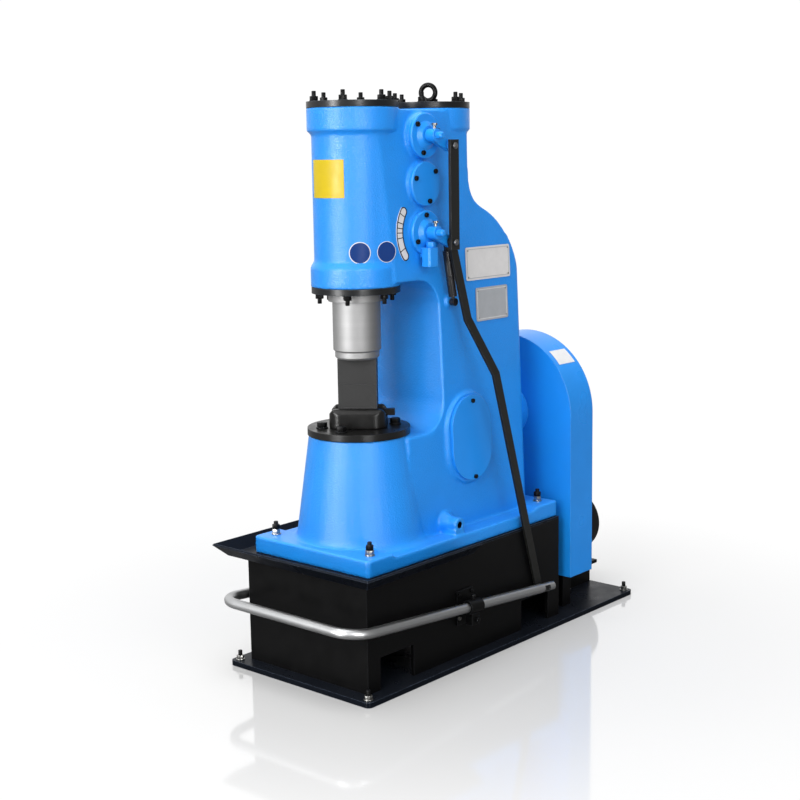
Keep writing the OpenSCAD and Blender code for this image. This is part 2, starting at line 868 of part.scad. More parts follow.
// Round cover with a chamfered rim
module round_cover(z) {
  xcyl(valve_face, valve_front - valve_ch, valve_r, valve_y, z);
  xcone(valve_front - valve_ch, valve_front, valve_r, valve_r - valve_ch, valve_y, z);
}

// Round cover with a flared spindle boss
module spindle_cover(z) {
  difference() {
    union() {
      round_cover(z);
      xcone(valve_front, boss_front, boss_root_r, boss_r, valve_y, z);
    }
    xcyl(valve_face - 1, boss_front + 1, spindle_r + pin_clear, valve_y, z);
  }
}

module upper_valve_cover() {
  color("#2f8fe0") spindle_cover(valve_high_z);
}

module blank_valve_cover() {
  color("#2f8fe0") round_cover(valve_mid_z);
}

module lower_valve_cover() {
  x0 = valve_front - 1;
  oy = valve_y - outlet_off;
  oz = valve_low_z - valve_r + 20;
  color("#2f8fe0")
  difference() {
    union() {
      spindle_cover(valve_low_z);
      translate([0, 0, oz - outlet_h]) linear_extrude(height = outlet_h)
        round_rect(x0, x0 + outlet_d, oy - outlet_w / 2, oy + outlet_w / 2, outlet_cr);
      box(valve_face + 2, x0 + outlet_d / 2, oy - outlet_w / 2 + outlet_cr,
        oy + outlet_w / 2 - outlet_cr, oz - 26, oz);
    }
    zcyl(oz - outlet_h - 1, oz - outlet_h + outlet_deep, outlet_bore, x0 + outlet_d / 2, oy);
  }
}

// Valve lever with its hub, spindle and tapered arm
module lever(z) {
  xcyl(valve_face + 1, hub_x + hub_w + nose_l - 3, spindle_r, valve_y, z);
  xcone(hub_x + hub_w + nose_l - 3, hub_x + hub_w + nose_l, spindle_r, spindle_r - 3,
    valve_y, z);
  xcyl(hub_x, hub_x + hub_w, hub_r, valve_y, z);
  xcyl(arm_x, arm_x + arm_t, lever_end_r, pin_y, z - lever_drop);
  translate([arm_x, valve_y, z]) rotate([lever_a, 0, 0]) rotate([90, 0, 90])
    linear_extrude(height = arm_t)
      polygon([[0, -hub_r], [lever_l, 1 - lever_end_r], [lever_l, lever_end_r - 1], [0, hub_r]]);
}

module upper_valve_lever() {
  color("#2f8fe0") {
    lever(valve_high_z);
    xcyl(arm_x, pin_end, pin_r, pin_y, pin_high_z);
    xcyl(arm_x, link_x - bar_gap, pin_eye_r, pin_y, pin_high_z);
    xcyl(pin_end, pin_end + head_t, head_r, pin_y, pin_high_z);
  }
}

module lower_valve_lever() {
  color("#2f8fe0") {
    lever(valve_low_z);
    xcyl(strut_eye - 2, pin_end, pin_r, pin_y, pin_low_z);
    xcyl(pin_end, pin_end + head_t, head_r, pin_y, pin_low_z);
  }
}

module link_bar() {
  color("#1b1c1e")
  difference() {
    box(link_x, link_x + bar_t, pin_y - link_w / 2, pin_y + link_w / 2, pin_low_z - 20,
      pin_high_z + 16);
    for (z = [pin_low_z, pin_high_z])
      xcyl(link_x - 1, link_x + bar_t + 1, pin_r + pin_clear, pin_y, z);
  }
}

module treadle_rod() {
  color("#1b1c1e")
  difference() {
    union() {
      translate([0, pin_y, pin_low_z]) rotate([rod_a, 0, 0])
        along_y(-rod_w / 2, rod_w / 2)
          polygon([[rod_x, 0], [rod_x + bar_t, 0], [rod_x + bar_t, -bend_start],
            [rod_x + rod_out + bar_t, -bend_end], [rod_x + rod_out + bar_t, -rod_l],
            [rod_x + rod_out, -rod_l], [rod_x + rod_out, -bend_end], [rod_x, -bend_start]]);
      xcyl(rod_x, rod_x + bar_t, rod_w / 2 + 1, pin_y, pin_low_z);
      xcyl(rod_x + rod_out, rod_x + rod_out + bar_t, rod_w / 2 + 1, rod_foot_y, rod_foot_z);
      xcyl(rod_x + rod_out, tread_half + pipe_r - 5, pin_r, rod_foot_y, rod_foot_z);
    }
    xcyl(rod_x - 1, rod_x + bar_t + 1, pin_r + pin_clear, pin_y, pin_low_z);
  }
}

// Places a piece along the strut, measured down from its top pin
module along_strut() {
  translate([strut_x, pin_y, pin_low_z]) rotate([strut_a, 0, 0]) rotate([180, 0, 0]) children();
}

module strut_tube() {
  color("#1b1c1e")
  difference() {
    union() {
      along_strut() translate([0, 0, strut_top])
        cylinder(r = strut_r, h = strut_l - strut_top - strut_show);
      along_strut() translate([-strut_eye_t / 2, -7, 0]) cube([strut_eye_t, 14, strut_top + 2]);
      xcyl(strut_eye, strut_eye + strut_eye_t, pin_eye_r, pin_y, pin_low_z);
    }
    xcyl(strut_eye - 30, strut_eye + 40, pin_r + pin_clear, pin_y, pin_low_z);
    along_strut() translate([0, 0, strut_top + 8])
      cylinder(r = strut_rod_r + ram_clear, h = strut_l);
  }
}

module strut_rod() {
  color("#8f9296") {
    along_strut() translate([0, 0, rod_top]) cylinder(r = strut_rod_r, h = strut_l - rod_top);
    xcyl(strut_x - rod_eye_w / 2, strut_x + rod_eye_w / 2, rod_eye_r, foot_y, foot_z);
  }
}

module strut_stud() {
  color("#8f9296") xcyl(stud_face, strut_x - rod_eye_w / 2 - bar_gap, stud_r, foot_y, foot_z);
}

module index_plate() {
  mid = index_r - index_w / 2;
  far = 2 * index_r;
  color("#e8e8e6")
  on_side(valve_low_z) along_x(0, index_t)
    translate([valve_y, 0]) {
      difference() {
        intersection() {
          circle(r = index_r);
          polygon([[0, 0], [-far * cos(index_a), far * sin(index_a)],
            [-far * cos(index_a), -far * sin(index_a)]]);
        }
        circle(r = index_r - index_w);
      }
      for (s = [-1, 1])
        translate([-mid * cos(index_a), s * mid * sin(index_a)]) circle(r = index_w / 2 - 0.2);
    }
}

module access_cover() {
  color("#2f8fe0")
  on_side(access_z) along_x(access_pad, access_pad + access_t)
    stadium(access_y, 0, access_r - access_rim, access_half + 4);
}

// Arched outline of the belt guard, drawn smaller by a margin
module guard_shape(m) {
  translate([0, crank_z]) circle(r = guard_half - m, $fn = 160);
  translate([-guard_half + m, guard_low + m])
    square([2 * (guard_half - m), crank_z - guard_low - m]);
}

module belt_guard() {
  color("#2f8fe0")
  difference() {
    along_y(guard_front, guard_rear) guard_shape(0);
    along_y(guard_front + guard_t, guard_rear - guard_t) guard_shape(guard_t);
  }
}

module guard_foot() {
  x0 = guard_foot_x - guard_foot_w / 2;
  y0 = guard_front + guard_foot_in;
  color("#1b1c1e")
  box(x0, x0 + guard_foot_w, y0, y0 + guard_foot_w, plate_t, guard_low);
}

module guard_foot_right() {
  guard_foot();
}

module guard_foot_left() {
  mirror([1, 0, 0]) guard_foot();
}

module motor_body() {
  color("#1b1c1e") {
    ycyl(guard_rear, motor_end, barrel_r, 0, motor_z);
    ycyl(guard_rear, guard_rear + 26, motor_r - 3, 0, motor_z);
    ycyl(motor_end - 16, motor_end, motor_r - 3, 0, motor_z);
    for (i = [0 : fin_n - 1])
      translate([0, guard_rear + 24, motor_z]) rotate([0, i * 360 / fin_n, 0])
        translate([barrel_r - 6, 0, -fin_t / 2])
          cube([motor_r - barrel_r + 6, barrel_l - 38, fin_t]);
    for (s = [-1, 1])
      box(s * motor_foot_x - motor_foot_w / 2, s * motor_foot_x + motor_foot_w / 2,
        guard_rear + 40, motor_end - 30, stand_z, stand_z + motor_foot_h);
  }
}

module motor_cowl() {
  color("#1b1c1e")
  translate([0, motor_end, motor_z]) rotate([-90, 0, 0])
    difference() {
      rotate_extrude()
        polygon([[0, 0], [motor_r, 0], [motor_r, cowl_l - cowl_ch], [motor_r - cowl_ch, cowl_l],
          [0, cowl_l]]);
      for (r = [ring_r : ring_step : motor_r - cowl_ch - ring_w - 1])
        translate([0, 0, cowl_l - ring_deep])
          difference() {
            cylinder(r = r + ring_w, h = ring_deep + 1);
            translate([0, 0, -1]) cylinder(r = r, h = ring_deep + 3);
          }
    }
}

module terminal_box() {
  color("#1b1c1e")
  difference() {
    box(-term_w / 2, term_w / 2, guard_rear + term_in, guard_rear + term_in + term_l,
      motor_z + 60, motor_z + term_up);
    ycyl(guard_rear, motor_end, motor_r + 0.2, 0, motor_z);
  }
}

module motor_stand() {
  color("#1b1c1e") {
    box(-stand_half, stand_half, guard_rear + 10, motor_end + 4, stand_z - stand_t, stand_z);
    for (s = [-1, 1])
      box(s * leg_x - stand_t / 2, s * leg_x + stand_t / 2, guard_rear + 14, motor_end,
        plate_t, stand_z - stand_t + 1);
  }
}

// Sets a piece in the treadle's sloping plane, with the pivot at zero
module treadle_frame() {
  translate([0, pivot_y, pivot_z]) rotate([-tread_a, 0, 0]) children();
}

// Pipe of the treadle with a given radius and rear ends
module treadle_pipe(r, right_end, left_end) {
  front = -tread_reach + bend_r;
  ycyl(front, right_end, r, tread_half, 0);
  ycyl(front, left_end, r, -tread_half, 0);
  xcyl(-tread_half + bend_r, tread_half - bend_r, r, -tread_reach, 0);
  translate([tread_half - bend_r, front, 0]) rotate([0, 0, -90])
    rotate_extrude(angle = 90) translate([bend_r, 0]) circle(r = r, $fn = 48);
  translate([-tread_half + bend_r, front, 0]) rotate([0, 0, 180])
    rotate_extrude(angle = 90) translate([bend_r, 0]) circle(r = r, $fn = 48);
}

module treadle_bar() {
  plug = tread_arm - plug_l / 2 + 8;
  color("#b4b7ba")
  treadle_frame()
    difference() {
      union() {
        treadle_pipe(pipe_r, plug, clamp_l / 2 + 22);
        ycyl(plug - 1, plug + plug_l, pipe_r - 1, tread_half, 0);
      }
      treadle_pipe(pipe_r - pipe_t, plug - 6, clamp_l / 2 + 18);
      box(tread_half - 30, tread_half + 30, tread_arm - pin_r - slot_run,
        tread_arm + pin_r + slot_run, -pin_r - slot_play, pin_r + slot_play);
    }
}

// Pivot clamp with an ear below the pipe
module clamp() {
  color("#1b1c1e")
  difference() {
    treadle_frame() {
      ycyl(-clamp_l / 2, clamp_l / 2, clamp_r, tread_half, 0);
      box(tread_half - ear_t / 2, tread_half + ear_t / 2, -ear_l / 2, ear_l / 2, -ear_h, 0);
    }
    treadle_frame() ycyl(-clamp_l, clamp_l, pipe_r, tread_half, 0);
    xcyl(ped_w / 2, tread_half - 5, spindle_r + pin_clear, pivot_y, pivot_z);
  }
}

module clamp_right() {
  clamp();
}

module clamp_left() {
  mirror([1, 0, 0]) clamp();
}

module bracket() {
  x = ped_w / 2;
  color("#1b1c1e") {
    box(x, x + bracket_t, pivot_y - bracket_w / 2, pivot_y + bracket_w / 2,
      pivot_z - bracket_down, pivot_z + bracket_up);
    xcyl(x + bracket_t, tread_half - pipe_r - 1, spindle_r, pivot_y, pivot_z);
  }
}

module bracket_right() {
  bracket();
}

module bracket_left() {
  mirror([1, 0, 0]) bracket();
}

base_plate();
pedestal();
drip_tray();
hammer_frame();
cylinder_cover();
compressor_cover();
bottom_cover();
ram_gland();
ram();
upper_die();
lower_die();
die_holder();
die_key();
anvil_plate();
lifting_eye();
upper_valve_cover();
blank_valve_cover();
lower_valve_cover();
upper_valve_lever();
lower_valve_lever();
link_bar();
treadle_rod();
strut_tube();
strut_rod();
strut_stud();
index_plate();
access_cover();
belt_guard();
guard_foot_right();
guard_foot_left();
motor_body();
motor_cowl();
terminal_box();
motor_stand();
treadle_bar();
clamp_right();
clamp_left();
bracket_right();
bracket_left();
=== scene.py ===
"""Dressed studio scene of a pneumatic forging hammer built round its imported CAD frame.

Lengths are in millimetres and angles in degrees, unless a docstring says otherwise.
"""

from __future__ import annotations

import json
import logging
import math
from collections.abc import Callable, Iterator
from contextlib import contextmanager
from dataclasses import dataclass, field
from enum import Enum

import bpy
from mathutils import Matrix, Vector

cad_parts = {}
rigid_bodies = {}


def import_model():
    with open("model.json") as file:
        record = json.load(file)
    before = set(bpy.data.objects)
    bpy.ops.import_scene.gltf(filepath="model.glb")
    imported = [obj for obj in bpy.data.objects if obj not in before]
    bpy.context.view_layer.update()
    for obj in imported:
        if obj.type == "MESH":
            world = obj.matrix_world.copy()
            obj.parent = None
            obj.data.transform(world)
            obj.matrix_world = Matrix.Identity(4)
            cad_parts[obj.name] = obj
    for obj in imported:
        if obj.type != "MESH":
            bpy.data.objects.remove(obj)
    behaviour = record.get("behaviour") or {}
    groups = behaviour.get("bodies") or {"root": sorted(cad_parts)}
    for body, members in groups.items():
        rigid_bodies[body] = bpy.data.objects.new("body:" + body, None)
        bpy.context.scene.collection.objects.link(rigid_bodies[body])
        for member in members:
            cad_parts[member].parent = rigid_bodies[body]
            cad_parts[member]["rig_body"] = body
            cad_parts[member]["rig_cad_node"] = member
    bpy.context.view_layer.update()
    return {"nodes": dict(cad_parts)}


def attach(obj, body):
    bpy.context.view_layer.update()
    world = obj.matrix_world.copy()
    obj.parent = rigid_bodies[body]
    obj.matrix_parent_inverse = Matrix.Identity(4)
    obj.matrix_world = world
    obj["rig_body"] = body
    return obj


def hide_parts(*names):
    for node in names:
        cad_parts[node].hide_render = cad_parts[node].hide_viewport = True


LOG = logging.getLogger("forging_hammer")
MM = 0.001  # one millimetre in metres
RAM_Y = -348.0  # axis of the ram, the dies and the anvil
COMPRESSOR_Y = -46.0  # axis of the compressor
VALVE_Y = -210.0  # axis of the three valves
UPPER_VALVE_Z, BLANK_VALVE_Z, LOWER_VALVE_Z = 1403.0, 1280.0, 1154.0
EDGE_SAMPLES = 4  # rays that soften an edge or find its paler band of wear and painted highlight
SHEET_TURN = 60.0  # largest turn that a bent sheet shades smooth
CLEAR_WHITE = 1.02  # level that the picture shows as white
PURE_WHITE = (1.0, 1.0, 1.0, 1.0)

Colour = tuple[float, float, float]
Point = tuple[float, float, float]
Obj = bpy.types.Object
Socket = bpy.types.NodeSocket
Sockets = bpy.types.bpy_prop_collection
Feeds = dict[str | int, object]


class Axis(Enum):
    """Direction that a round piece points to."""

    UP = (0.0, 0.0, 1.0)
    DOWN = (0.0, 0.0, -1.0)
    RIGHT = (1.0, 0.0, 0.0)
    LEFT = (-1.0, 0.0, 0.0)


class Reach(Enum):
    """Kind of surface that a studio light works on."""

    BOTH = "both"
    MATT = "matt"
    GLOSS = "gloss"


class Effect(Enum):
    """Surface effect that finishes share: its name, inputs with defaults, and outputs."""

    CAST_GRAIN = ("Cast grain", {"Wave scale": 9.0, "Pit scale": 330.0, "Pits": 0.3},
                  ("Height", "Tint"))
    # the two edge effects pale the edges: part wear, part a painted edge highlight
    EDGE_WEAR = ("Edge wear", {"Low": 0.52, "High": 0.6, "Amount": 0.5}, ("Mask",))
    EDGE_RUB = ("Edge rub", {"Radius": 0.0025, "Amount": 0.5}, ("Mask",))
    TURNED_RINGS = ("Turned rings", {"Pitch": 900.0, "Blend": 0.5}, ("Height", "Shade"))
    DUST_FILM = ("Dust film", {"Amount": 0.3, "Scale": 9.0}, ("Mask",))


def mm(x: float, y: float, z: float) -> Point:
    """Turns three lengths from millimetres into metres."""
    return (x * MM, y * MM, z * MM)


def move(x: float, y: float, z: float) -> Matrix:
    """Move by three lengths, as a matrix."""
    return Matrix.Translation(mm(x, y, z))


def polar(radius: float, angle: float) -> Vector:
    """Flat point at a distance from the origin and at an angle."""
    turn = math.radians(angle)
    return Vector((radius * math.cos(turn), radius * math.sin(turn)))


class Wiring:
    """Node tree that takes each node together with what feeds its inputs."""

    def __init__(self, tree: bpy.types.NodeTree) -> None:
        """Starts on a tree."""
        self.tree = tree

    def feed(self, inputs: Sockets, feeds: Feeds) -> None:
        """Sets inputs to plain values, or links them to the sockets that feed them.

        Args:
            inputs: inputs of a node.
            feeds: value or socket for each input, by its name or number.
        """
        for key, value in feeds.items():
            if isinstance(value, Socket):
                self.tree.links.new(value, inputs[key])
            else:
                inputs[key].default_value = value

    def add(self, kind: str, feeds: Feeds | None = None, **settings: object) -> Sockets:
        """Adds a shader node.

        Args:
            kind: kind of node.
            feeds: value or socket for each input, by its name or number.
            settings: properties of the node.
        Returns:
            The outputs of the node.
        """
        node = self.tree.nodes.new("ShaderNode" + kind)
        for key, value in settings.items():
            setattr(node, key, value)
        self.feed(node.inputs, feeds or {})
        return node.outputs


class EffectGroup(Wiring):
    """Shader node group of one shared effect."""

    def __init__(self, effect: Effect) -> None:
        """Makes the group with its sockets and fills it.

        Args:
            effect: effect that the group gives.
        """
        name, inputs, outputs = effect.value
        super().__init__(bpy.data.node_groups.new(name, "ShaderNodeTree"))
        new_socket = self.tree.interface.new_socket
        for label, value in inputs.items():
            made = new_socket(label, in_out="INPUT", socket_type="NodeSocketFloat")
            made.default_value = value
        for label in outputs:
            new_socket(label, in_out="OUTPUT", socket_type="NodeSocketFloat")
        self.given = self.tree.nodes.new("NodeGroupInput").outputs
        self.out = self.tree.nodes.new("NodeGroupOutput").inputs
        fill = {Effect.CAST_GRAIN: self.cast_grain, Effect.EDGE_WEAR: self.edge_wear,
                Effect.EDGE_RUB: self.edge_rub, Effect.TURNED_RINGS: self.turned_rings,
                Effect.DUST_FILM: self.dust_film}
        fill[effect]()

    @classmethod
    def find(cls, effect: Effect) -> bpy.types.NodeTree:
        """Finds the group of an effect, and makes it the first time.

        Args:
            effect: effect that is wanted.
        Returns:
            The group.
        """
        found = bpy.data.node_groups.get(effect.value[0])
        return cls(effect).tree if found is None else found

    def cast_grain(self) -> None:
        """Low waves and fine pits of a painted casting."""
        place = self.add("TexCoord")["Object"]
        wave = self.add("TexNoise", {"Vector": place, "Scale": self.given["Wave scale"],
                                     "Detail": 2.0})
        pit = self.add("TexNoise", {"Vector": place, "Scale": self.given["Pit scale"],
                                    "Detail": 3.0, "Roughness": 0.6})
        mix = self.add("Mix", {"Factor": self.given["Pits"], "A": wave["Fac"], "B": pit["Fac"]},
                       data_type="FLOAT")
        self.feed(self.out, {"Height": mix["Result"], "Tint": wave["Fac"]})

    def edge_wear(self) -> None:
        """Mask of the paler edges of a soft mesh, taken from its shape: wear and a painted edge
        highlight.
        """
        sharp = self.add("NewGeometry")["Pointiness"]
        ramp = self.add("MapRange", {"Value": sharp, "From Min": self.given["Low"],
                                     "From Max": self.given["High"]})
        self.speckle(ramp["Result"], {"Scale": 35.0})

    def edge_rub(self) -> None:
        """Mask of the paler edges of a sharp-edged piece: rubbed wear and a painted edge highlight.
        """
        soft = self.add("Bevel", {"Radius": self.given["Radius"]}, samples=EDGE_SAMPLES)
        flat = self.add("NewGeometry")
        same = self.add("VectorMath", {0: soft["Normal"], 1: flat["Normal"]},
                        operation="DOT_PRODUCT")
        ramp = self.add("MapRange", {"Value": same["Value"], "From Min": 0.99, "From Max": 0.80})
        self.speckle(ramp["Result"], {"Scale": 28.0, "Detail": 4.0})

    def turned_rings(self) -> None:
        """Fine tool rings left by a lathe along an upright axis."""
        height = self.add("SeparateXYZ", {"Vector": self.add("TexCoord")["Object"]})["Z"]
        fine = self.add("TexNoise", noise_dimensions="1D",
                        feeds={"W": height, "Scale": self.given["Pitch"], "Detail": 3.0})
        broad = self.add("TexNoise", noise_dimensions="1D", feeds={"W": height, "Scale": 60.0})
        mix = self.add("Mix", {"Factor": self.given["Blend"], "A": fine["Fac"],
                               "B": broad["Fac"]}, data_type="FLOAT")
        self.feed(self.out, {"Height": fine["Fac"], "Shade": mix["Result"]})

    def dust_film(self) -> None:
        """Mask of thin dust on faces that look up."""
        up = self.add("SeparateXYZ", {"Vector": self.add("NewGeometry")["Normal"]})["Z"]
        ramp = self.add("MapRange", {"Value": up, "From Min": 0.5})
        self.speckle(ramp["Result"], {"Scale": self.given["Scale"], "Detail": 5.0})

    def speckle(self, mask: Socket, noise: Feeds) -> None:
        """Breaks an even mask up with noise, sets its strength and puts it out.

        Args:
            mask: even mask.
            noise: what feeds the noise.
        """
        spots = self.add("TexNoise", {"Vector": self.add("TexCoord")["Object"], **noise})
        broken = self.add("Math", {0: mask, 1: spots["Fac"]}, operation="MULTIPLY")
        scaled = self.add("Math", {0: broken["Value"], 1: self.given["Amount"]},
                          operation="MULTIPLY")
        self.feed(self.out, {"Mask": scaled["Value"]})


class Look(Wiring):
    """Node tree of a new material, with the inputs of its Principled shader."""

    def __init__(self, name: str) -> None:
        """Makes the material.

        Args:
            name: name of the material.
        """
        self.made = bpy.data.materials.new(name)
        self.made.use_nodes = True
        super().__init__(self.made.node_tree)
        self.shader = self.tree.nodes["Principled BSDF"].inputs

    def effect(self, effect: Effect, feeds: Feeds | None = None) -> Sockets:
        """Adds the node group of a shared effect and returns its outputs."""
        return self.add("Group", feeds, node_tree=EffectGroup.find(effect))

    def bump(self, height: Socket, strength: float, depth: float) -> None:
        """Feeds a height into the shader's normal on top of the soft edges.

        Args:
            height: socket that gives the height.
            strength: strength of the bump.
            depth: depth of the bump in metres.
        """
        feeds = {"Strength": strength, "Distance": depth, "Height": height}
        if self.shader["Normal"].is_linked:
            feeds["Normal"] = self.shader["Normal"].links[0].from_socket
        self.feed(self.shader, {"Normal": self.add("Bump", feeds)["Normal"]})

    def vary(self, mask: Socket, level: float, spread: float) -> None:
        """Lets the roughness wander about its level.

        Args:
            mask: socket that runs from about 0.3 to 0.7 over the surface.
            level: middle of the roughness.
            spread: how far the roughness wanders to either side.
        """
        ramp = self.add("MapRange", {"Value": mask, "From Min": 0.3, "From Max": 0.7,
                                     "To Min": level - spread, "To Max": level + spread})
        self.feed(self.shader, {"Roughness": ramp["Result"]})

    def tint(self, mask: Socket, colour: Colour) -> None:
        """Mixes a second colour into the base colour by a mask.

        Args:
            mask: socket that gives the share of the second colour.
            colour: second colour.
        """
        base = self.shader["Base Color"]
        under = base.links[0].from_socket if base.is_linked else base.default_value[:]
        mix = self.add("Mix", {"A": under, "B": (*colour, 1.0), "Factor": mask}, data_type="RGBA")
        self.feed(self.shader, {"Base Color": mix["Result"]})


@dataclass(frozen=True)
class Finish:
    """Finish with a base colour, a gloss, a fine texture, paler edges that are wear and a painted
    edge highlight, and dust.

    Attributes:
        name: name of the material.
        slot: material slot of the record that it belongs to, or an empty text; not used.
        colour: linear base colour.
        roughness: roughness of the surface.
        metallic: one for bare metal.
        specular: level of the plain gloss.
        rounding: radius of the softened edges in metres, or nought.
        wave_scale: low waves of the texture to the metre.
        pit_scale: fine pits of the texture to the metre.
        pits: share of the pits in the texture.
        grain: strength of the texture.
        depth: depth of the texture in metres.
        shade: share of the colour that the texture's dark tone keeps, one for an even tone.
        spread: how far the roughness wanders to either side.
        rub: strength of the paler edges, which are wear and a painted edge highlight, or nought.
        rub_and_sheen_width: width of those edges in metres.
        rub_and_sheen_colour: colour of those edges.
        dust: strength of the dust, or nought.
        dust_colour: colour of the dust.
    """

    name: str
    slot: str
    colour: Colour
    roughness: float
    metallic: float = 0.0
    specular: float = 0.5
    rounding: float = 0.0
    wave_scale: float = 9.0
    pit_scale: float = 330.0
    pits: float = 0.3
    grain: float = 0.1
    depth: float = 0.0004
    shade: float = 1.0
    spread: float = 0.05
    rub: float = 0.0
    rub_and_sheen_width: float = 0.0025
    rub_and_sheen_colour: Colour = (0.5, 0.5, 0.5)
    dust: float = 0.0
    dust_colour: Colour = (0.5, 0.5, 0.5)

    def material(self) -> bpy.types.Material:
        """Makes the material once.

        Returns:
            The finished material.
        """
        name = "look_" + self.name
        if name in bpy.data.materials:
            return bpy.data.materials[name]
        look = Look(name)
        look.made.diffuse_color = (*self.colour, 1.0)
        look.feed(look.shader, {"Base Color": (*self.colour, 1.0), "Roughness": self.roughness,
                                "Metallic": self.metallic, "Specular IOR Level": self.specular})
        if self.rounding > 0.0:
            soft = look.add("Bevel", {"Radius": self.rounding}, samples=EDGE_SAMPLES)
            look.feed(look.shader, {"Normal": soft["Normal"]})
        height, tone = self.texture(look)
        if self.shade < 1.0:
            look.tint(tone, tuple(self.shade * c for c in self.colour))
        # paler edges: wear and a painted edge highlight
        if self.rub > 0.0:
            look.tint(self.worn_and_sheen(look), self.rub_and_sheen_colour)
        if self.dust > 0.0:
            dust = look.effect(Effect.DUST_FILM, {"Amount": self.dust})
            look.tint(dust["Mask"], self.dust_colour)
        look.vary(tone, self.roughness, self.spread)
        look.bump(height, self.grain, self.depth)
        return look.made

    def texture(self, look: Look) -> tuple[Socket, Socket]:
        """Adds the fine texture.

        Args:
            look: look that is being built.
        Returns:
            The height and the tone of the texture.
        """
        grain = look.effect(Effect.CAST_GRAIN, {"Wave scale": self.wave_scale,
                                                "Pit scale": self.pit_scale, "Pits": self.pits})
        return grain["Height"], grain["Tint"]

    def worn_and_sheen(self, look: Look) -> Socket:
        """Adds the mask of the paler edges, wear and a painted edge highlight, and returns it."""
        return look.effect(Effect.EDGE_RUB, {"Radius": self.rub_and_sheen_width, "Amount": self.rub})["Mask"]


@dataclass(frozen=True)
class CastEnamel(Finish):
    """Gloss enamel over a casting or sheet, with paler edges, which are wear and a painted edge
    highlight, and a trace of dust.

    Attributes:
        sharp: whether the piece has sharp CAD edges.
    """

    pit_scale: float = 260.0
    depth: float = 0.0016
    shade: float = 0.86
    # pale blue edges: wear and a painted edge highlight
    rub: float = 0.55
    rub_and_sheen_width: float = 0.003
    rub_and_sheen_colour: Colour = (0.16, 0.50, 0.92)
    dust: float = 0.08
    dust_colour: Colour = (0.45, 0.52, 0.60)
    sharp: bool = True

    def worn_and_sheen(self, look: Look) -> Socket:
        """Adds the mask of the paler edges, wear and a painted edge highlight.

        Args:
            look: look that is being built.
        Returns:
            The mask.
        """
        if self.sharp:
            return super().worn_and_sheen(look)
        return look.effect(Effect.EDGE_WEAR, {"Amount": self.rub})["Mask"]


@dataclass(frozen=True)
class SatinPaint(Finish):
    """Dark satin paint with paler rubbed edges that also carry a painted edge highlight, faint dust
    and orange peel.
    """

    wave_scale: float = 26.0
    pit_scale: float = 420.0
    depth: float = 0.0008
    spread: float = 0.07
    rub: float = 0.35
    rub_and_sheen_width: float = 0.0022
    rub_and_sheen_colour: Colour = (0.16, 0.18, 0.21)
    dust: float = 0.10
    dust_colour: Colour = (0.10, 0.11, 0.13)


@dataclass(frozen=True)
class TurnedMetal(Finish):
    """Bare metal with lathe rings about an upright axis."""

    grain: float = 0.04
    shade: float = 0.88
    spread: float = 0.03

    def texture(self, look: Look) -> tuple[Socket, Socket]:
        """Adds the tool rings and returns their height and tone."""
        rings = look.effect(Effect.TURNED_RINGS)
        return rings["Height"], rings["Shade"]


@dataclass(frozen=True)
class GroundSteel(Finish):
    """Oiled or brushed steel with blotches and rubbed edges that also carry a painted edge
    highlight.
    """

    wave_scale: float = 30.0
    pit_scale: float = 420.0
    pits: float = 0.5
    depth: float = 0.0006
    shade: float = 0.6
    spread: float = 0.07
    rub: float = 0.3
    rub_and_sheen_width: float = 0.0016
    rub_and_sheen_colour: Colour = (0.35, 0.36, 0.38)


@dataclass(frozen=True)
class BrushedTube(Finish):
    """Dull zinc tube with faint cloudy patches."""

    wave_scale: float = 22.0
    pit_scale: float = 900.0
    pits: float = 0.2
    grain: float = 0.02
    depth: float = 0.0003
    shade: float = 0.8


@dataclass(frozen=True)
class PrintedSheet(Finish):
    """Printed or painted sheet with faint smudges."""

    wave_scale: float = 45.0
    pit_scale: float = 600.0
    grain: float = 0.04
    shade: float = 0.86
    spread: float = 0.08


